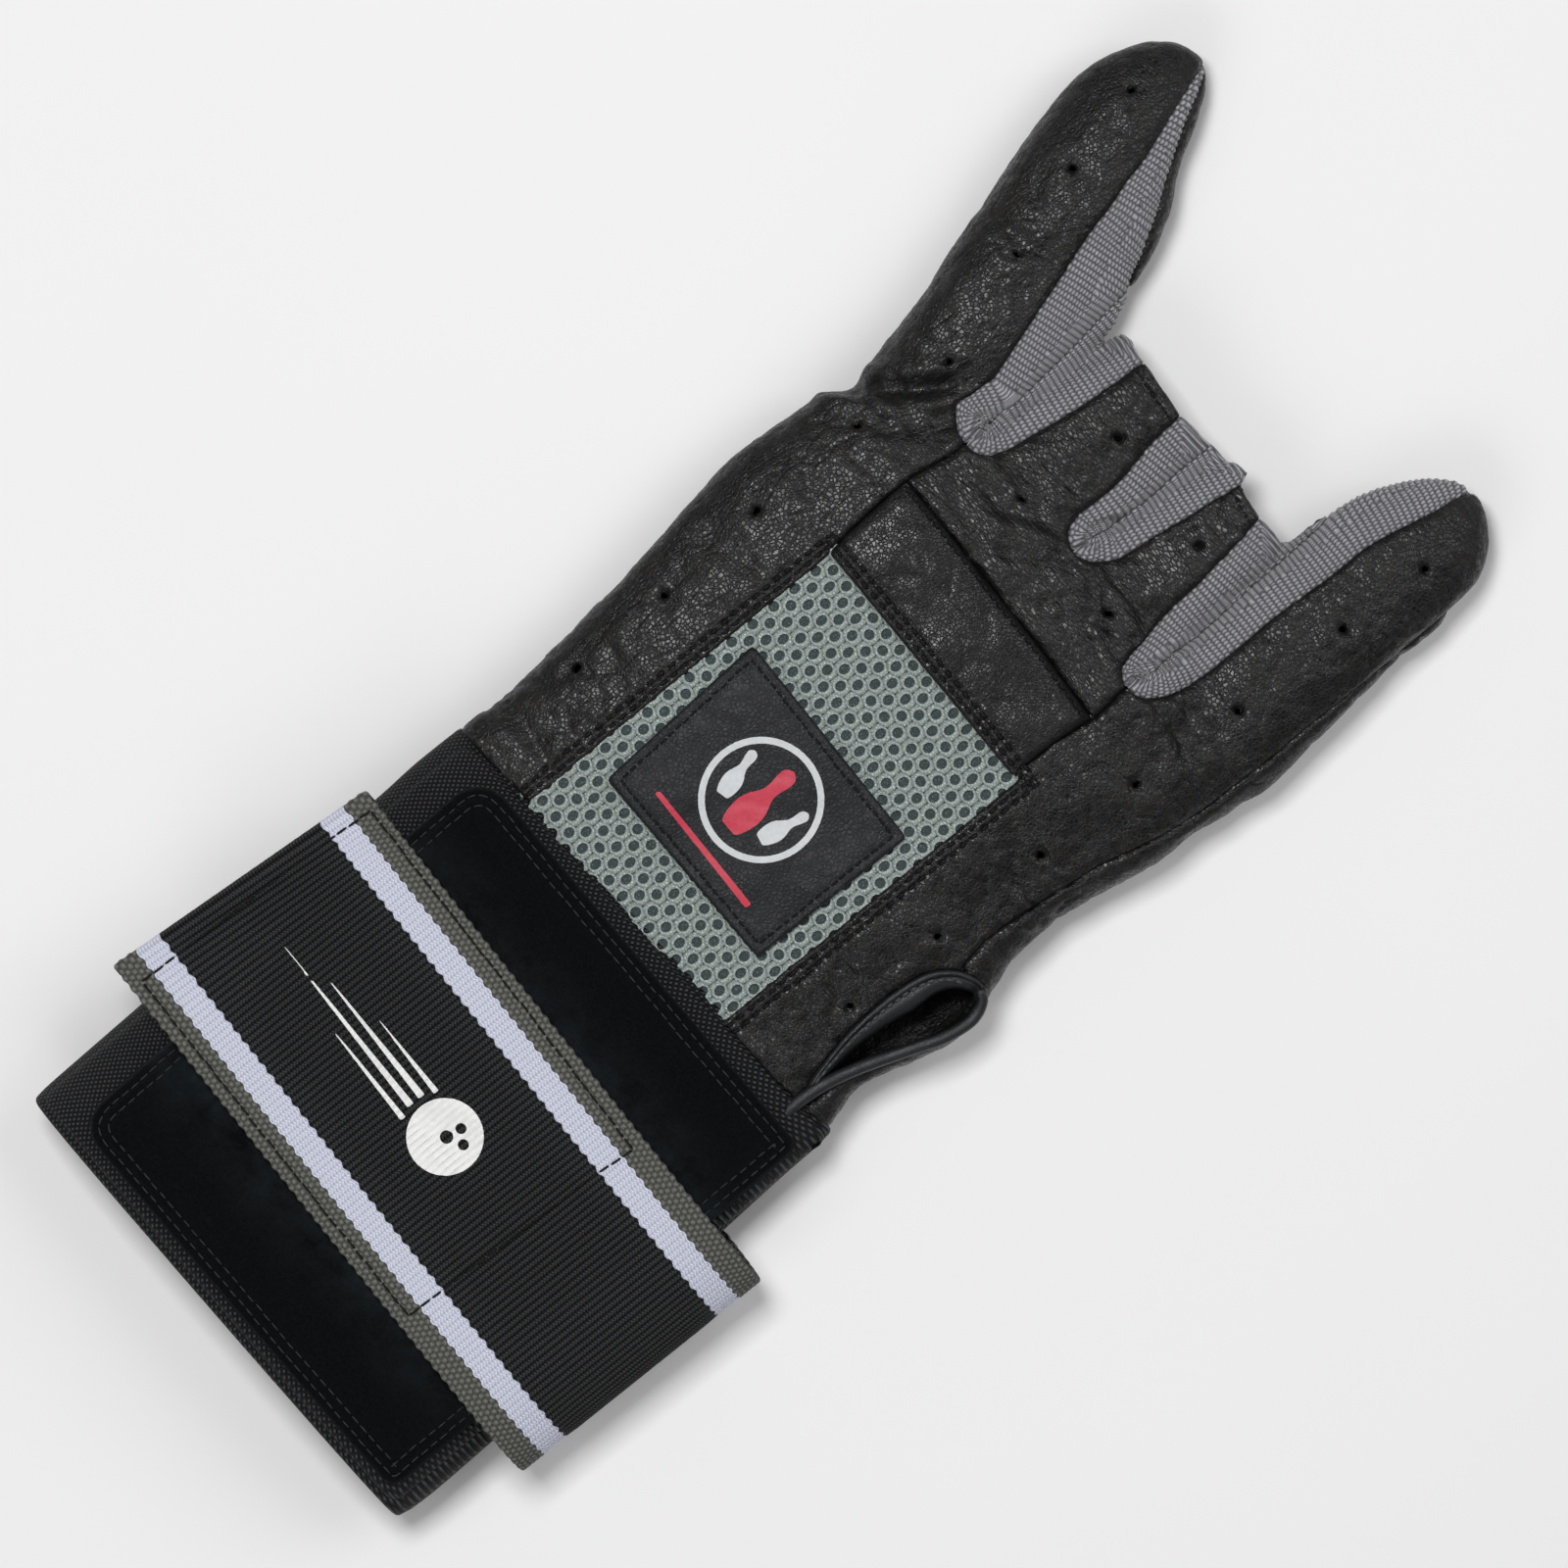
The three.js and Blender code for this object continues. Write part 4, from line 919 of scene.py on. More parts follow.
def build_glove_hand():
    """Cuts the skin into the leather panels and knit sides. Gives back the skin and all of them."""
    verts, faces = build_hand()
    verts = press_skin(verts, faces)
    window = inside_field(verts, np.array(WINDOW))
    from_window = np.where(verts[:, 2] > SEAM_HEIGHT, -window, NO_GROOVE)
    skin = np.column_stack([verts, normals(verts, faces), from_window])
    height = verts[:, 2] - SEAM_HEIGHT
    ends = end_field(verts)
    slit = np.vstack([curve(THUMB_UPPER), curve(THUMB_LOWER)[1:-1]])
    slit_field = np.maximum(-inside_field(verts, slit), SLIT_FLOOR - verts[:, 2])
    vents = np.min([np.hypot(verts[:, 0] - x, verts[:, 1] - y) for x, y in VENTS], axis=0)
    vents = np.maximum(vents - VENT_RADIUS, SEAM_HEIGHT - verts[:, 2])
    leathers = {name: inside_field(verts, line) for name, line in leather_outlines().items()}
    knits = {name: inside_field(verts, line) for name, line in knit_outlines().items()}
    pad_top, pad_low = curve(PAD_TOP), np.array(WINDOW_ROWS[4], float)

    def pad_puff(v):
        inner = np.minimum(distance_to_line(v, pad_top), distance_to_line(v, pad_low))
        inner = np.where(v[:, 1] > line_height(pad_low, v[:, 0]), inner, 0)
        sides = np.minimum(v[:, 0] - PAD_SIDES[0], PAD_SIDES[1] - v[:, 0])
        u = np.clip(np.minimum(inner, sides) / PAD_ROUND, 0, 1)
        return PAD_RISE * np.sqrt(1 - (1 - u) ** 2)

    shown = []
    for name, field in leathers.items():
        field = np.min([field, height, ends, slit_field, vents], axis=0)
        shown.append(panel(skin, faces, field, 1.0, pad_puff if name == "pad" else None))
        obj = make("palm_" + name + "_leather", *thicken(*shown[-1], LEATHER_WALL),
                   "leather_" + name, "leather_pad" if name == "pad" else "leather_palm",
                   node="palm_" + name)
    covered = [*leathers.values(), *knits.values(), window]
    covered = np.max([np.minimum(field, height) for field in covered], axis=0)
    shown.append(panel(skin, faces, np.min([-covered, ends, slit_field], axis=0), 0.9))
    make("hand_back_leather", *thicken(*shown[-1], LEATHER_WALL), "leather_back", "leather_back",
         node="hand_back")
    for name, edge in knit_edges().items():
        field = np.min([knits[name], height, ends], axis=0)
        bottom = edge[:, 1].argmin()
        halves = (edge[:bottom + 1], edge[bottom:])
        nearer_left = np.subtract(*[distance_to_line(skin, half) for half in halves[::-1]])
        for side, half, nearer in zip("lr", halves, (nearer_left, -nearer_left)):
            v, f, uv = knit_side(skin, faces, np.minimum(field, nearer), half)
            shown.append((v, f))
            make("gusset_%s_knit_%s" % (name, side), *thicken(v, f, KNIT_WALL), "knit", "knit",
                 node="gusset_" + name, uv=np.vstack([uv, uv]), sharp=0)
    return skin, faces, joined(shown)


# Breathable mesh

def build_net(height):
    """The holed knit in the window, and the darker layer that shows through the holes."""
    ways = np.column_stack(around(NET_SIDES))
    hole = ways * (HOLE_HALF_X, HOLE_HALF_Y)
    corners = np.array([
        (HOLE_STEP_X / 2, -HOLE_STEP_Y / 3), (HOLE_STEP_X / 2, HOLE_STEP_Y / 3),
        (0, 2 * HOLE_STEP_Y / 3 + 0.001), (-HOLE_STEP_X / 2, HOLE_STEP_Y / 3),
        (-HOLE_STEP_X / 2, -HOLE_STEP_Y / 3), (0, -2 * HOLE_STEP_Y / 3 - 0.001),
    ])
    edges = np.roll(corners, -1, axis=0) - corners
    outward = np.column_stack([edges[:, 1], -edges[:, 0]])
    reach = (outward * corners).sum(1) / np.maximum(ways @ outward.T, TINY)
    rim = ways * reach.min(1)[:, None]
    left, right = WINDOW[0][0] - NET_MARGIN, WINDOW[1][0] + NET_MARGIN
    rows = int((WINDOW_TOP + 2.0 - NET_BOTTOM) / HOLE_STEP_Y)
    middles = []
    for j in range(rows + 1):
        y = WINDOW_TOP + 1.2 - j * HOLE_STEP_Y
        shift = HOLE_STEP_X / 2 if j % 2 else 0
        for i in range(int((right - left) / HOLE_STEP_X) + 1):
            middles.append((left + shift + i * HOLE_STEP_X, y))
    middles = np.array(middles)
    middles = middles[inside_field(middles, np.array(PATCH_CORNERS)) < PATCH_OVERLAP]
    shares = np.array([0.0, 0.12, 0.4, 1.0])
    drops = np.array([-0.38, -0.1, 0.0, -0.05])
    parts = []
    for x, y in middles:
        grow = 1 + 0.06 * RAND.normal()
        inner = hole * np.array([grow, 2 - grow])
        v = np.vstack([inner + (rim - inner) * share for share in shares]) + (x, y)
        v = np.column_stack([v, np.repeat(drops, NET_SIDES)])
        parts.append((v, grid_faces(len(shares), NET_SIDES, wrap=True)))
    verts, faces = joined(parts)
    share = np.tile(np.repeat(shares, NET_SIDES), len(parts))
    uv = np.column_stack([share, np.zeros(len(share))])
    verts[:, 2] += height(verts) - NET_SINK
    verts, faces = thicken(verts, faces, NET_WALL, UP)
    make("palm_mesh_net", verts, faces, "net", "spacer_mesh", node="palm_mesh",
         uv=np.vstack([uv, uv]))
    low, high = (left - 0.8, NET_BOTTOM), (right + 1, WINDOW_TOP + 1.6)
    outline = corner(low, (high[0], low[1]), high, (low[0], high[1]))
    v, f = slab(outline, 1.5, height, lambda v, g: -UNDERLAY_SINK, (), UNDERLAY_WALL)
    make("palm_mesh_underlay", v, f, "underlay", "spacer_mesh")


def build_patch(height):
    """The sewn patch. Gives back the height of its face."""
    outline = rounded(PATCH_CORNERS, (0.7,) * 4, 3)

    def profile(v, g):
        groove = 0.16 * np.exp(-((g - PATCH_GROOVE) / 0.45) ** 2)
        return PATCH_RISE - roll(g, 0.6, 0.7) - groove + 0.06 * waves(v, 9, 12)

    levels = (0.2, 0.45, 0.8, 1.3, PATCH_GROOVE, 2.1)
    v, f = slab(outline, 0.8, height, profile, levels, PATCH_WALL)
    make("palm_patch_leather", v, f, "patch", "patch", node="palm_patch")
    top = ground(v, f)
    border = rounded(PATCH_BORDER, (0.4,) * 4, 3)
    border = np.vstack([border, border[:1]])
    add_threads("palm_patch_stitches", [border], top, "thread_dark", "patch", step=1.75)
    return top


def circle(x, y, radius):
    return np.column_stack(around(CIRCLE_SIDES)) * radius + (x, y)


# Height and half width of a ten-pin, as shares of its height
PIN_PROFILE = ((0, 0.105), (0.02, 0.125), (0.15, 0.17), (0.3, 0.187), (0.42, 0.165), (0.55, 0.105),
               (0.64, 0.078), (0.72, 0.08), (0.82, 0.098), (0.9, 0.1), (0.96, 0.075), (1.0, 0.0))


def pin(x, y, size, turn=0.0):
    """Outline of a ten-pin, standing on the given point."""
    profile = smooth_rows(PIN_PROFILE, 0.03)
    side = np.column_stack([profile[:, 1], profile[:, 0]])
    points = np.vstack([side, (side * (-1, 1))[::-1][1:]]) * size
    c, s = math.cos(turn), math.sin(turn)
    return points @ np.array([[c, s], [-s, c]]) + (x, y)


def printed(name, shapes, holes, step, height, material, slot):
    """Thin ink lying on a surface: inside any of the shapes and outside the holes."""
    parts = []
    for outline in shapes:
        v, f, _ = plate(outline, step, holes)
        v[:, 2] = height(v) + INK_LIFT
        parts.append(thicken(v, f, INK_LIFT * 2, UP))
    make(name, *joined(parts), material, slot)


# Thumb slit

def smoothed(values, reach):
    """A running mean over so many values to either side."""
    count = 2 * reach + 1
    return np.convolve(np.pad(values, reach, mode="edge"), np.ones(count) / count, mode="valid")


def build_thumb(height, shown):
    """The band on the slit's upper lip with its stitches, and the bead along the lower lip."""
    upper = curve(THUMB_UPPER)
    share = resample(np.array(BAND_SHARE, float)[:, None], len(BAND_SHARE) / len(upper))
    share = np.interp(np.linspace(0, 1, len(upper)), np.linspace(0, 1, len(share)), share[:, 0])
    along = unit(np.gradient(upper, axis=0))
    inward = np.column_stack([along[:, 1], -along[:, 0]])
    profile = curve(BAND_PROFILE, 0.35)
    base = smoothed(height(upper - inward * 0.7), 3)
    verts = []
    for across, rise in profile:
        offset = across * np.where(across > 0.6, share, np.minimum(share + 0.35, 1))
        place = upper + inward * offset[:, None]
        verts.append(np.column_stack([place, base + rise * np.clip(share + 0.3, 0, 1)]))
    verts = np.stack(verts, axis=1).reshape(-1, 3)
    faces = grid_faces(len(upper), len(profile))
    make("thumb_binding_band", *thicken(verts, faces, BAND_WALL), "piping", "piping",
         node="thumb_binding")
    line = curve(BEAD, 0.7)
    line = np.column_stack([line, smoothed(height(line), 4) + 0.25])
    width = BEAD_RADIUS * np.interp(np.arange(len(line)), (0, 6, len(line)), (0.75, 1, 1.05))
    make("thumb_binding_bead", *tube(line, width, sides=16, flat=0.85), "piping", "piping", sharp=0)
    top = ground(*joined([(verts, faces), shown]))
    add_threads("thumb_binding_stitches", [curve(THUMB_ROW)], top, "thread_slate", "piping", step=1.6,
                radius=0.28, share=0.66, lift=0.2)


# Cuff

def build_cuff():
    """The open sleeve with its rounded rims, the cover on its upper side and the padded panel."""
    rows = smooth_rows(CUFF, 1.8)

    def ring(row, inset, shift):
        points = oval(row[:5], CUFF_SIDES, CUFF_POWER, inset)
        points[:, 1] += shift + row[5] * points[:, 0]
        return points

    half = CUFF_WALL / 2
    bends = np.linspace(-math.pi / 2, math.pi / 2, 7)[1:-1]
    rings = [ring(row, 0, 0) for row in rows]
    rings += [ring(rows[-1], half + half * math.sin(a), half * math.cos(a)) for a in bends]
    rings += [ring(row, CUFF_WALL, 0) for row in rows[::-1]]
    rings += [ring(rows[0], half - half * math.sin(a), -half * math.cos(a)) for a in bends]
    rings.append(rings[0])
    faces = grid_faces(len(rings), CUFF_SIDES, wrap=True)[:, ::-1]
    verts, faces = welded(np.vstack(rings), faces)
    verts[:, 2] += 0.12 * waves(verts, 30, 21)
    make("cuff_sleeve_weave", verts, faces, "nylon", "cuff_nylon", node="cuff_sleeve")
    base = ground(verts, faces)

    def cover_profile(v, g):
        return COVER_RISE - roll(g, 0.7, 0.9) + 0.05 * waves(v, 16, 22)

    outline = rounded(COVER_CORNERS, (2.0, 1.2, 1.6, 3.0))
    v, f = slab(outline, 1.7, base, cover_profile, (0.25, 0.55, 0.9), COVER_WALL)
    make("cuff_sleeve_cover", v, f, "nylon", "cuff_nylon")
    cover = ground(*joined([(verts, faces), (v, f)]))
    outline = rounded(PANEL_CORNERS, PANEL_RADII, 8)

    def panel_profile(v, g):
        puff = PANEL_RISE + 0.5 * np.clip((g - 3.4) / 9, 0, 1)
        grooves = sum(0.5 * np.exp(-((g - at) / 0.5) ** 2) for at in PANEL_ROWS)
        return puff - roll(g, 1.0, 1.1) - grooves + 0.05 * waves(v, 26, 31)

    levels = (0.25, 0.6, 1.1, 1.35, 1.6, 1.9, 2.4, 2.95, 3.3, 3.7)
    v, f = slab(outline, 1.7, cover, panel_profile, levels, PANEL_WALL)
    obj = make("cuff_panel_velour", v, f, "velour", "velour", node="cuff_panel")
    add_threads("cuff_panel_stitches", [inset_ring(outline, inset) for inset in PANEL_ROWS],
                ground(v, f), "thread_grey", "velour", step=2.1, radius=0.13, share=0.78, lift=0.04)


def inset_ring(outline, inset):
    """A closed line that runs inside an outline at a distance from it."""
    ring = np.vstack([outline[-1:], outline, outline[:1]])
    along = unit(ring[2:] - ring[:-2])
    side = np.column_stack([-along[:, 1], along[:, 0]])
    inward = np.sign(((outline.mean(0) - outline) * side).sum(1))
    moved = outline + side * inward[:, None] * inset
    return np.vstack([moved, moved[:1]])


def welded(verts, faces):
    """Joins vertices that lie in the same place."""
    key = np.round(verts[:, :3], 4)
    _, first, back = np.unique(key, axis=0, return_index=True, return_inverse=True)
    faces = back.reshape(-1)[faces]
    return verts[first], without_flat(faces)


# Strap

def strap_frame():
    """Centre line of the webbing with its outward normals and the length along it."""
    line = curve(STRAP_PATH, RIB_STEP / 4)
    turned = line[:, 0].argmax()
    lower = np.flatnonzero((np.arange(len(line)) > turned) & (line[:, 1] < 3))
    keep = np.ones(len(line), bool)
    keep[lower[1::2]] = False
    length = running_length(line)
    along = unit(np.gradient(line, axis=0))
    out = np.column_stack([-along[:, 1], along[:, 0]])
    return line[keep], out[keep], length[keep]


def strap_place(x, v):
    """Turns strap coordinates into places in plan."""
    c, s = math.cos(STRAP_TURN), math.sin(STRAP_TURN)
    return x * c - v * s, STRAP_MIDDLE_Y + x * s + v * c


def build_strap():
    """The webbing along its path, with ribs across it, knobs on its borders and a wavy edge."""
    line, out, length = strap_frame()
    half = STRAP_WIDTH / 2
    middle = np.linspace(-GREY_FROM, GREY_FROM, 19)[1:-1]
    border = np.arange(GREY_FROM, half - 0.5, 0.3)
    border = np.concatenate([border, half - np.array([0.5, 0.28, 0.1, 0])])
    v = np.concatenate([-border[::-1], middle, border])
    row, v_grid = np.meshgrid(np.arange(len(line)), v, indexing="ij")
    at, size = length[row], np.abs(v_grid)
    line_x, line_z = line[row, 0], line[row, 1]
    out_x, out_z = out[row, 0], out[row, 1]
    phase = TURN * at / RIB_STEP
    lane = (size - GREY_FROM) / LANE_STEP
    knobs = np.cos(phase + math.pi * np.floor(lane)) * (0.4 + 0.6 * np.abs(np.sin(math.pi * lane)))
    ribs = np.where(size > WHITE_FROM, WHITE_RISE, RIB_RISE) * np.cos(phase)
    rise = np.where(size > GREY_FROM, RIB_RISE * knobs, ribs)
    rise = rise * np.where(at < STRAP_TOP_RUN, 1.0, LOWER_SHARE)
    rise = STRAP_WALL / 2 + rise - roll(half - size, 0.5, 0.55)
    slant = np.clip((-30 - line_x) / 18, 0, 1) ** 2
    slant = np.clip(slant * (3 - 2 * slant), 0, 1)
    x = line_x + out_x * rise + slant * END_SLANT * v_grid
    z = line_z + out_z * rise
    hem = (1 - np.clip((at - 1.0) / 5.5, 0, 1)) * HEM_SKEW * np.clip(-v_grid / half, 0, 1)
    wobble = EDGE_WAVE * np.cos(phase / 2) * np.clip((size - half + 2) / 2, 0, 1) * np.sign(v_grid)
    px, py = strap_place(x, v_grid + hem + wobble)
    z = z + 0.25 * np.sin(px / 21 + 0.6) * np.clip((z - 20) / 5, 0, 1)
    z = z + 0.1 * np.sin(py / 9 + px / 30)
    z = np.maximum(z, np.where(out_z < -0.5, 0.0, -9))
    verts = np.column_stack([px.ravel(), py.ravel(), z.ravel()])
    c, s = math.cos(STRAP_TURN), math.sin(STRAP_TURN)
    direction = np.column_stack([(out_x * c).ravel(), (out_x * s).ravel(), out_z.ravel()])
    uv = np.column_stack([at.ravel(), v_grid.ravel()])
    verts, faces = thicken(verts, grid_faces(len(line), len(v)), STRAP_WALL, direction)
    verts[:, 2] = np.maximum(verts[:, 2], 0.0)
    make("wrist_strap_webbing", verts, faces, "webbing", "webbing", node="wrist_strap",
         uv=np.vstack([uv, uv]), sharp=60)
    top = ground(verts, faces)
    rows = [[strap_place(*point) for point in points] for points in STRAP_ROWS]
    add_threads("wrist_strap_stitches", rows, top, "thread_dark", "webbing", step=2.4, share=0.88,
                radius=0.21, lift=0.1)
    return top


def build_hook():
    """The hook piece under the strap's upper leg."""
    line, _, _ = strap_frame()
    upper = line[6:line[:, 0].argmax()]
    upper = upper[np.argsort(upper[:, 0])]

    def below_strap(v):
        return np.interp(v[:, 0], upper[:, 0], upper[:, 1]) - STRAP_WALL / 2 - 0.35

    outline = np.array([strap_place(*point) for point in HOOK_CORNERS])
    v, f = slab(outline, 2.0, below_strap, lambda v, g: 0, (), HOOK_WALL)
    make("hook_patch_tape", v, f, "hook", "hook_tape", node="hook_patch")


# Materials. All patterns are worked out in millimetres of the object's own frame.

def node(tree, kind, inputs=(), out=0, **props):
    made = tree.nodes.new("ShaderNode" + kind)
    for key, value in props.items():
        setattr(made, key, value)
    for key, value in dict(inputs).items():
        if isinstance(value, Value):
            tree.links.new(value.socket, made.inputs[key])
        else:
            made.inputs[key].default_value = value
    return Value(made.outputs[out])


class Value:
    """What a node gives at each point of a surface. Sums and products of it are more nodes."""

    def __init__(self, socket):
        self.socket = socket

    def into(self, kind, inputs, out=0, **props):
        return node(self.socket.id_data, kind, inputs, out, **props)

    def math(self, operation, other=0.0):
        return self.into("Math", {0: self, 1: other}, operation=operation)

    def __add__(self, other):
        return self.math("ADD", other)

    def __sub__(self, other):
        return self.math("SUBTRACT", other)

    def __mul__(self, other):
        return self.math("MULTIPLY", other)

    def __truediv__(self, other):
        return self.math("DIVIDE", other)

    def __pow__(self, other):
        return self.math("POWER", other)

    def __abs__(self):
        return self.math("ABSOLUTE")

    def sine(self):
        return self.math("SINE")

    def cosine(self):
        return self.math("COSINE")

    def spread(self, low, high, new_low=0.0, new_high=1.0):
        """Maps one range to another, and holds at its ends what lies outside."""
        return self.into("MapRange", {0: self, 1: low, 2: high, 3: new_low, 4: new_high})

    def split(self):
        return [Value(out) for out in self.into("SeparateXYZ", {0: self}).socket.node.outputs]

    def scaled(self, factors):
        return self.into("VectorMath", {0: self, 1: factors}, operation="MULTIPLY")

    def jittered(self, pitch, amount):
        """A place moved about by a soft noise, so that a pattern there loses its evenness."""
        shift = self.into("VectorMath", {0: self.noise(pitch, 2.0, out=1), 1: (0.5,) * 3},
                          operation="SUBTRACT")
        return self.into("VectorMath", {0: self, 1: shift.scaled((amount,) * 3)}, operation="ADD")

    def noise(self, pitch, detail=3.0, roughness=0.55, out=0):
        return self.into("TexNoise", {"Vector": self, "Scale": 1 / pitch, "Detail": detail,
                                      "Roughness": roughness}, out=out)

    def cells(self, pitch, feature="DISTANCE_TO_EDGE", out=0):
        return self.into("TexVoronoi", {"Vector": self, "Scale": 1 / pitch}, feature=feature, out=out)


def blend(factor, a, b):
    """A mix of two colours, each given as a value or as three numbers."""
    a, b = [(*colour, 1) if isinstance(colour, tuple) else colour for colour in (a, b)]
    return factor.into("Mix", {0: factor, 6: a, 7: b}, out=2, data_type="RGBA")


class Surface:
    """A material with its places in space and on the piece, in millimetres."""

    def __init__(self, name, roughness, specular, sheen=0.0):
        self.material = bpy.data.materials.new(name)
        self.material.use_nodes = True
        self.tree = self.material.node_tree
        self.inputs = self.tree.nodes["Principled BSDF"].inputs
        self.inputs["Roughness"].default_value = roughness
        self.inputs["Specular IOR Level"].default_value = specular
        self.inputs["Sheen Weight"].default_value = sheen
        self.inputs["Sheen Roughness"].default_value = 0.4
        self.place = node(self.tree, "TexCoord", out=3).scaled((1 / MM,) * 3)

    def flat_place(self):
        """Length along the piece, or share of a hole's rim, and the place across it."""
        return node(self.tree, "TexCoord", out=2).scaled((1 / UV_UNIT,) * 3).split()

    def done(self, colour, height=None, relief=1.0, roughness=None):
        """Links the colour, the relief in millimetres of a height of one, and the roughness."""
        self.tree.links.new(colour.socket, self.inputs["Base Color"])
        if height is not None:
            bump = node(self.tree, "Bump", {"Distance": relief * MM, "Height": height})
            self.tree.links.new(bump.socket, self.inputs["Normal"])
        if roughness is not None:
            self.tree.links.new(roughness.socket, self.inputs["Roughness"])
        return self.material


def leather(name, grain=0.74, stretch=(1, 1, 1), ripple=(0.3, 0.5, 0.4), wrinkle=0.6,
            light=(0.018, 0.0155, 0.0132), roughness=(0.29, 0.38), specular=0.38):
    """Grained leather. The ripples are fine wrinkles, narrow along the axis with the larger factor. Its
    colour holds painted light: lighter grain tops as painted glints, darker creases and ripples as
    painted shade, and lighter noise patches as painted highlights.
    """
    made = Surface(name, 0.42, specular)
    place = made.place
    bent = place.scaled(stretch).jittered(1.8, 0.25)
    pebble = bent.cells(grain).spread(0.0, 0.17)
    each = bent.cells(grain, "F1", out=1).split()[0]
    bowed = place.scaled(ripple).jittered(4.0, 1.1)
    ripples = bowed.noise(0.8, 2.0)
    creases = bowed.cells(1.7).spread(0.0, 0.1)
    soft = place.noise(5.5, 2.0)
    height = pebble * 0.045 + each * 0.006 + creases * (0.09 * wrinkle)
    height = height + ripples * (0.4 * wrinkle) + soft * (1.3 * wrinkle)
    # Painted light: the grain's tops are lighter as painted glints, the creases and ripples darker as
    # painted shade, and broad noise patches lighter as painted highlights. The grain pattern and each
    # grain's tone are the leather's own.
    grain_and_painted_light = pebble * each.spread(0.0, 1.0, 0.7, 1.0) * creases.spread(0.0, 1.0, 1 - 0.8 * wrinkle, 1.0)
    grain_and_painted_light = grain_and_painted_light * ripples.spread(0.35, 0.6, 1 - 0.8 * wrinkle, 1.0)
    grain_and_painted_light = grain_and_painted_light * place.noise(12, 3.0).spread(0.35, 0.68, 0.5, 1.0)
    rough = place.noise(6.0).spread(0.3, 0.75, *roughness) + pebble.spread(0.0, 1.0, 0.3, 0.0)
    return made.done(blend(grain_and_painted_light, LEATHER_BLACK, light), height, 1.0, rough)


def knit_material():
    """Grey waffle knit: each row of loops is set off by half a column from the last. The colour is
    darker between the loops and between the rows, as painted shade in the grooves.
    """
    made = Surface("knit_grey", 0.85, 0.25, sheen=0.25)
    along, across, _ = made.flat_place()
    odd = (along / KNIT_ROW + 0.5).math("FLOOR")
    column = ((across / KNIT_COLUMN + odd * 0.5) * TURN).sine().spread(-1, 1)
    row = (along * (TURN / KNIT_ROW)).cosine().spread(-1, 1) ** 0.5
    loops = column ** 0.6 * row.spread(0, 1, 0.15, 1.0)
    fuzz = made.place.noise(0.5, 3.0, 0.7)
    # Painted shade: darker in the grooves between the loops and between the rows. The broad tint below
    # is the yarn's own uneven tone.
    shade = (loops * 0.85 + row * 0.15) * fuzz.spread(0.25, 0.75, 0.6, 1.25)
    colour = blend(shade, (0.035, 0.035, 0.042), (0.47, 0.47, 0.50))
    tint = made.place.noise(11, 2.0).spread(0.3, 0.7, 0.0, 0.18)
    return made.done(blend(tint, colour, (0.14, 0.14, 0.16)), loops * 0.7 + fuzz * 0.5, 0.22)


def net_material(name, dark, light, rims=False):
    """Looped yarn. With rims, it is lighter round each hole."""
    made = Surface(name, 0.75, 0.3, sheen=0.1)
    loops = made.place.scaled((1.0, 1.3, 1.0)).cells(0.62).spread(0.02, 0.3)
    strands = made.place.noise(0.5, 2.0)
    shade = loops.spread(0, 1, 0.35, 1.0) * strands.spread(0.3, 0.7, 0.65, 1.15)
    if rims:
        rim = made.flat_place()[0].spread(0.3, 1.0, 1.0, 0.0)
        shade = shade * rim.spread(0, 1, 0.5, 1.0) + rim * 0.25
    return made.done(blend(shade, dark, light), loops * 0.7 + strands * 0.4, 0.2)


def smooth_material(name, dark, light, roughness, grain, relief, specular=0.5):
    """Smooth leather or plastic with a faint grain."""
    made = Surface(name, roughness, specular)
    place = made.place
    pebble = place.jittered(1.2, 0.5).cells(grain).spread(0.0, 0.3)
    shade = place.noise(3.5).spread(0.25, 0.8, 0.4, 1.1) * pebble.spread(0, 1, 0.35, 1.0)
    rough = place.noise(2.2).spread(0.3, 0.7, roughness - 0.06, roughness + 0.1)
    return made.done(blend(shade, dark, light), pebble * 0.6 + place.noise(3.0) * 0.8, relief * 2, rough)


def nylon_material():
    """Black basket weave on the slant, which follows the cuff's sides down."""
    made = Surface("nylon_weave", 0.6, 0.25)
    x, y, z = made.place.split()
    x = x + z
    yarns = [abs((way * (math.pi / NYLON_STEP)).sine()) for way in (x + y, x - y)]
    weave = yarns[0] * yarns[1]
    fibres = made.place.scaled((1, 3, 1)).noise(0.3, 2.0)
    shade = weave ** 2.8 * fibres.spread(0.3, 0.7, 0.55, 1.2)
    colour = blend(shade, (0.0008, 0.0009, 0.0012), (0.075, 0.081, 0.088))
    return made.done(colour, weave + fibres * 0.3, 0.3)


def velour_material():
    """Black pile, rubbed lighter in two bands beside the strap."""
    made = Surface("velour_nap", 0.95, 0.06, sheen=0.06)
    made.inputs["Sheen Tint"].default_value = (0.55, 0.66, 0.78, 1)
    nap = made.place.noise(0.45, 4.0, 0.7)
    y = made.place.split()[1]
    above, below = [y.spread(a, b) * y.spread(c, d, 1.0, 0.0)
                    for a, b, c, d in (RUBBED_ABOVE, RUBBED_BELOW)]
    rubbed = above.math("MAXIMUM", below) ** 2.0 * made.place.noise(9, 6.0, 0.75).spread(0.35, 0.75)
    base = blend(nap.spread(0.3, 0.75), (0.0015, 0.0017, 0.002), (0.006, 0.007, 0.008))
    return made.done(blend(rubbed * 0.6, base, (0.03, 0.038, 0.044)), nap, 0.35)


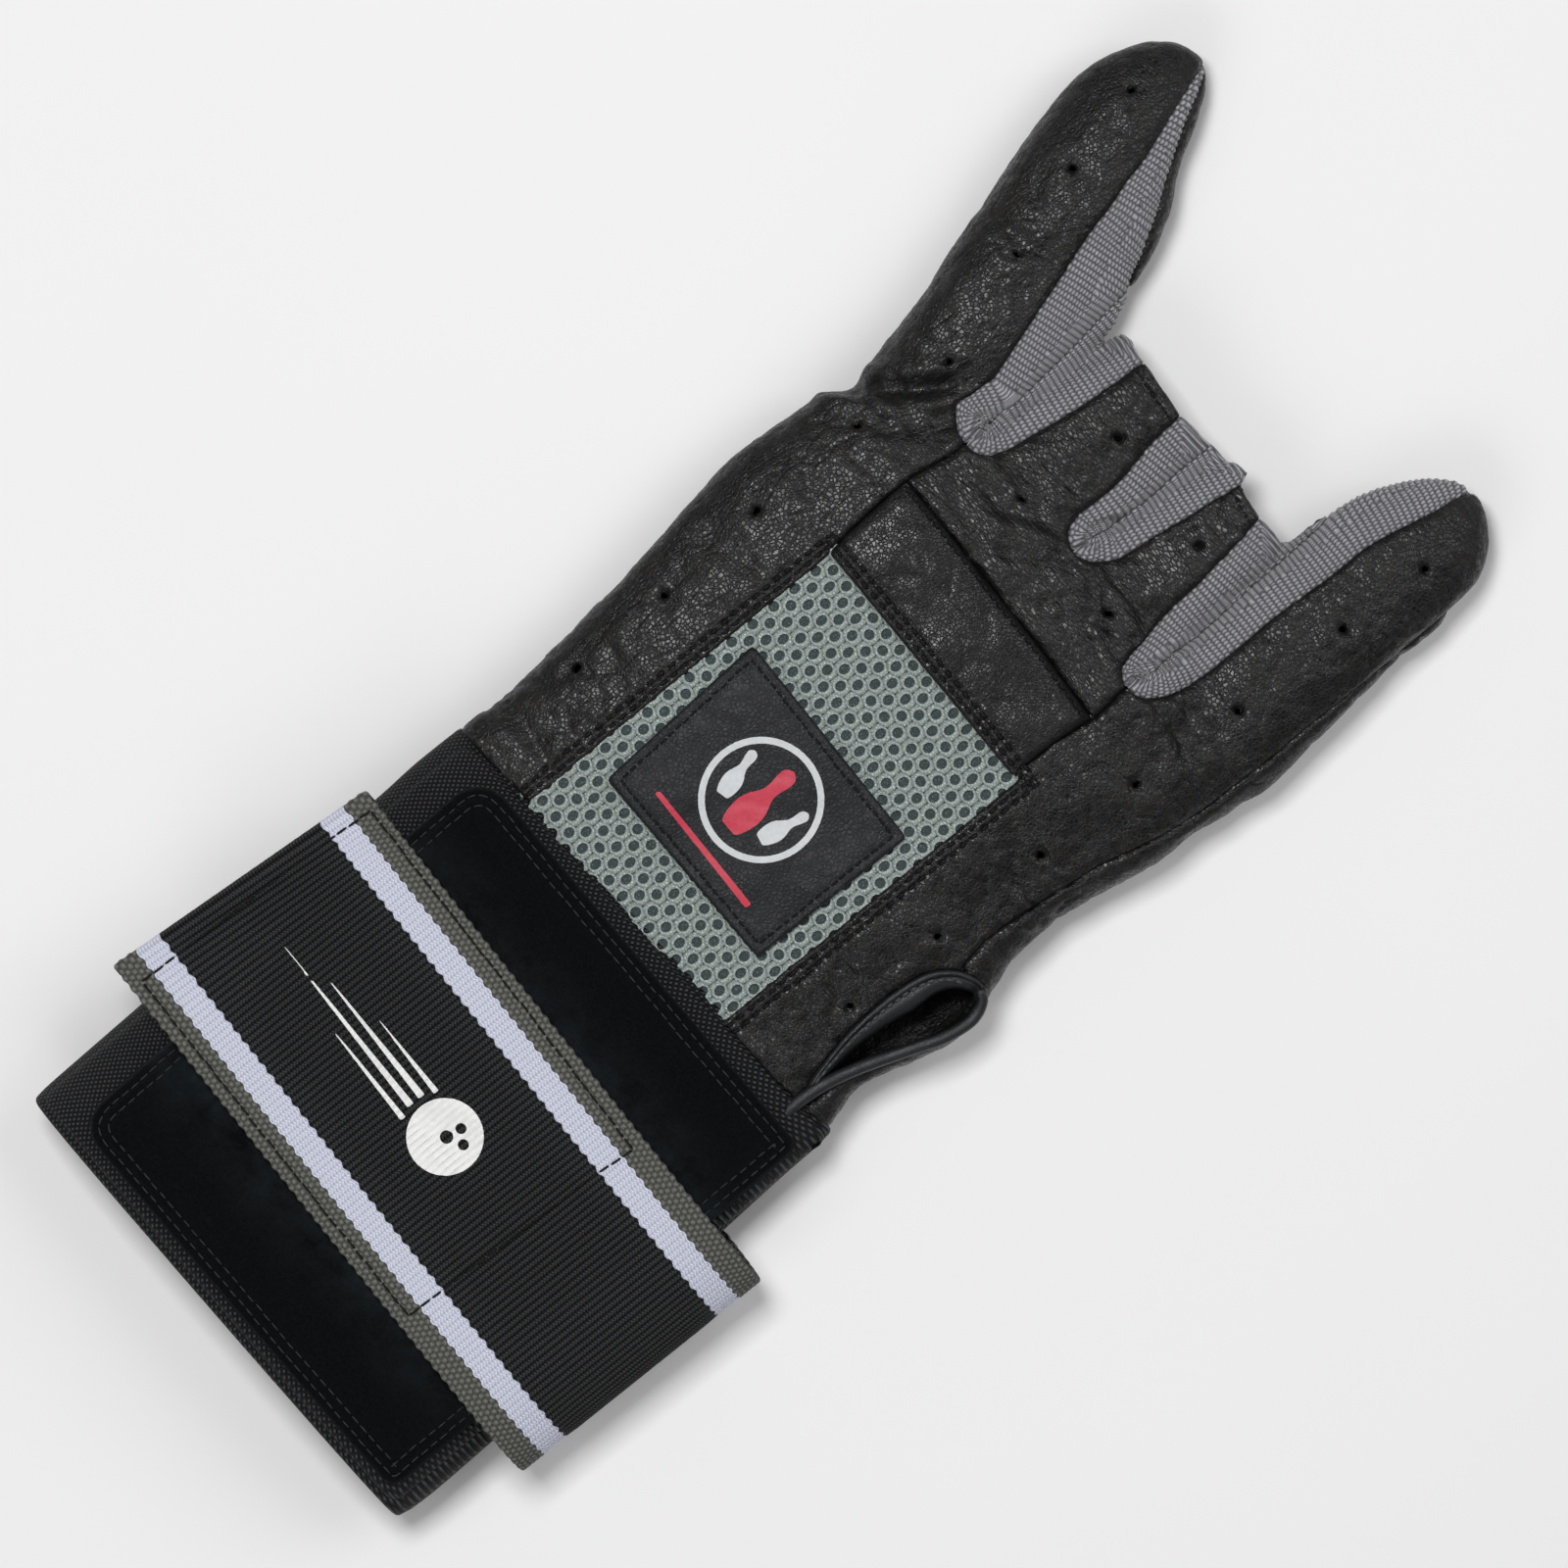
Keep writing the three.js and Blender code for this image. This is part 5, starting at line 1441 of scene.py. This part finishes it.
def webbing_material():
    """Ribbed black webbing with a white stripe and a grey knobbed border on either side."""
    made = Surface("webbing_stripes", 0.8, 0.14, sheen=0.04)
    u, v, _ = made.flat_place()
    size = abs(v)
    swing = (u * (math.pi / RIB_STEP)).sine()
    outer = size + swing * 0.2 * v.math("SIGN")
    phase = u * (TURN / RIB_STEP)
    rib = phase.cosine().spread(-1, 1)
    cell = v / CELL_STEP + (u / RIB_STEP).math("FLOOR") * 0.5 + abs(swing) * 0.35
    cell = abs((cell * math.pi).sine())
    fuzz = made.place.noise(0.3, 3.0, 0.65)
    uneven = fuzz.spread(0.25, 0.75, 0.75, 1.15)
    shade = (cell ** 0.6).spread(0, 1, 0.1, 1.0) * rib.spread(0.0, 0.7, 0.3, 1.0) * uneven
    lane = (size - GREY_FROM) / LANE_STEP
    offset = lane.math("FLOOR").math("MODULO", 2.0) * math.pi
    knob = (offset + phase).cosine().spread(-1, 0.6) * abs((lane * math.pi).sine()) * uneven
    black = blend(shade ** 1.6, (0.0008, 0.0009, 0.0012), (0.05, 0.052, 0.054))
    white = blend(shade.spread(0, 0.6), (0.42, 0.44, 0.53), (0.70, 0.72, 0.85))
    grey = blend(knob, (0.065, 0.065, 0.06), (0.2, 0.2, 0.18))
    colour = blend(outer.math("GREATER_THAN", WHITE_FROM), black, white)
    colour = blend(outer.math("GREATER_THAN", GREY_FROM), colour, grey)
    return made.done(colour, cell * 0.6 + fuzz * 0.35, 0.24)


def thread_material(name, dark, light):
    made = Surface(name, 0.6, 0.25)
    twist = made.place.noise(0.22, 2.0)
    return made.done(blend(twist.spread(0.3, 0.7), dark, light), twist, 0.1)


def ink_material(name, dark, light):
    made = Surface(name, 0.5, 0.4)
    wear = made.place.noise(0.8, 4.0)
    return made.done(blend(wear.spread(0.3, 0.7), dark, light), wear, 0.05)


def floor_material():
    made = Surface("floor_white", 0.9, 0.1)
    return made.done(blend(made.place.noise(90, 2.0), (0.90,) * 3, (0.92,) * 3))


def build_materials():
    return {
        "leather_little": leather("leather_little", grain=0.72, ripple=(0.5, 0.2, 0.4)),
        "leather_index": leather("leather_index", grain=0.76, ripple=(0.22, 0.5, 0.4), wrinkle=0.75),
        "leather_centre": leather("leather_centre", grain=0.76, stretch=(0.7, 1.2, 1),
                                  ripple=(0.2, 0.65, 0.4), wrinkle=0.65),
        "leather_pad": leather("leather_pad", grain=0.6, wrinkle=0.25, specular=0.36,
                               light=(0.011, 0.0105, 0.01), roughness=(0.26, 0.34)),
        "leather_back": leather("leather_back"),
        "knit": knit_material(),
        "net": net_material("net_light", (0.075, 0.1, 0.095), (0.52, 0.59, 0.56), rims=True),
        "underlay": net_material("net_dark", (0.02, 0.03, 0.032), (0.1, 0.13, 0.132)),
        "patch": smooth_material("patch_leather", (0.0025, 0.003, 0.004), (0.017, 0.0185, 0.022),
                                 roughness=0.5, grain=0.8, relief=0.05, specular=0.3),
        "piping": smooth_material("piping_slate", (0.005, 0.0065, 0.0075), (0.014, 0.017, 0.0195),
                                  roughness=0.4, grain=0.3, relief=0.02),
        "nylon": nylon_material(),
        "velour": velour_material(),
        "webbing": webbing_material(),
        "hook": smooth_material("hook_tape", (0.008, 0.008, 0.009), (0.03, 0.03, 0.032),
                                roughness=0.6, grain=0.9, relief=0.3),
        "thread_dark": thread_material("thread_dark", LEATHER_BLACK, (0.007, 0.007, 0.008)),
        "thread_grey": thread_material("thread_grey", (0.012, 0.0135, 0.015), (0.045, 0.05, 0.054)),
        "thread_slate": thread_material("thread_slate", (0.03, 0.034, 0.038), (0.09, 0.1, 0.11)),
        "ink_white": ink_material("ink_white", (0.78, 0.78, 0.77), (0.86, 0.86, 0.85)),
        "ink_grey": ink_material("ink_grey", (0.56, 0.585, 0.60), (0.64, 0.66, 0.68)),
        "ink_red": ink_material("ink_red", (0.50, 0.026, 0.058), (0.60, 0.04, 0.078)),
        "floor": floor_material(),
    }


# Generic motifs in the printed places

def print_patch(height):
    x, y = EMBLEM
    outer, inner = circle(x, y, EMBLEM_RADIUS), circle(x, y, EMBLEM_RADIUS - 1.15)
    printed("palm_patch_ring", [outer], [inner], 0.35, height, "ink_grey", "patch")
    pins = [pin(x - 5.0, y - 4.6, 9.5, 0.22), pin(x + 5.0, y - 4.6, 9.5, -0.22)]
    printed("palm_patch_side_pins", pins, [], 0.3, height, "ink_grey", "patch")
    printed("palm_patch_middle_pin", [pin(x, y - 7.4, 14.8)], [], 0.3, height, "ink_red", "patch")
    bar = corner((-12.5, -13.2), (12.5, -13.9), (12.5, -12.7), (-12.5, -12.3)) + EMBLEM
    printed("palm_patch_bar", [bar], [], 0.4, height, "ink_red", "patch")


def print_strap(height):
    ball = [circle(8.0, 0.0, 6.6)]
    grips = [circle(8.6, 3.0, 0.95), circle(11.0, 1.6, 0.95), circle(8.2, 0.2, 1.15)]
    trails = []
    for v, start, thick in ((3.6, -17, 1.0), (1.2, -31, 1.25), (-1.2, -38, 1.25), (-3.6, -24, 1.0)):
        end = 8.0 - 6.6 * math.sqrt(1 - (v / 6.6) ** 2) - 1.3
        trails.append(corner((start, v + 0.05), (end, v - thick / 2), (end, v + thick / 2)))

    def moved(outline):
        return np.column_stack(strap_place(outline[:, 0], outline[:, 1]))

    shapes, holes = [[moved(outline) for outline in group] for group in (ball + trails, grips)]
    printed("wrist_strap_print", shapes, holes, 0.29, height, "ink_white", "webbing")


# Lights, floor and camera

def area_light(name, place, size, power):
    """A lamp that looks at the middle of the glove."""
    data = bpy.data.lights.new(name, "AREA")
    data.shape = "RECTANGLE"
    data.size, data.size_y = size
    data.energy = power
    obj = bpy.data.objects.new(name, data)
    obj.location = place
    obj.rotation_euler = (-Vector(place)).to_track_quat("-Z", "Y").to_euler()
    bpy.context.scene.collection.objects.link(obj)


def in_view(right, up, height):
    """A place given by the photograph's right and up, as seen from above."""
    c, s = math.cos(CAMERA_TURN), math.sin(CAMERA_TURN)
    return (right * c - up * s, right * s + up * c, height)


def build_studio():
    bpy.ops.mesh.primitive_plane_add(size=6)
    floor = bpy.context.object
    floor.name = "floor"
    floor.data.materials.append(MATERIALS["floor"])
    world = bpy.data.worlds.new("studio")
    bpy.context.scene.world = world
    world.use_nodes = True
    light = world.node_tree.nodes["Background"].inputs
    light["Color"].default_value = (1, 1, 1, 1)
    light["Strength"].default_value = WORLD_LIGHT
    area_light("key", in_view(-0.22, 0.3, 1.25), (0.36, 0.36), 9.8)
    area_light("side", in_view(0.85, 0.35, 0.95), (0.8, 0.8), 4.4)
    area_light("low", in_view(-0.5, -0.85, 0.85), (0.9, 0.6), 3.4)
    camera = bpy.data.cameras.new("camera")
    camera.lens = CAMERA_SENSOR * CAMERA_DISTANCE / CAMERA_WIDTH
    camera.sensor_width = CAMERA_SENSOR
    camera.clip_end = 20
    eye = bpy.data.objects.new("camera", camera)
    eye.location = (CAMERA_CENTRE[0] * MM, CAMERA_CENTRE[1] * MM, CAMERA_DISTANCE + 0.015)
    eye.rotation_euler = (0, 0, CAMERA_TURN)
    bpy.context.scene.collection.objects.link(eye)
    bpy.context.scene.camera = eye
    bpy.context.scene.view_settings.view_transform = "Standard"


MATERIALS = build_materials()
skin, skin_faces, hand_surface = build_glove_hand()
whole_skin = ground(skin, skin_faces)
shown_skin = ground(*hand_surface)
build_net(whole_skin)
print_patch(build_patch(whole_skin))
build_thumb(whole_skin, hand_surface)
add_threads("palm_window_stitches", WINDOW_ROWS, shown_skin, "thread_dark", "leather_palm",
            step=WINDOW_STITCH, radius=0.31, share=0.62, lift=0.12)
add_threads("palm_pad_stitches", [PAD_ROW], shown_skin, "thread_dark", "leather_pad",
            radius=0.28, lift=0.18)
add_threads("palm_hem_stitches", [*HEM_ROWS, curve(THUMB_LOWER_ROW)], shown_skin, "thread_dark",
            "leather_palm", step=1.6)
build_cuff()
print_strap(build_strap())
build_hook()
build_studio()
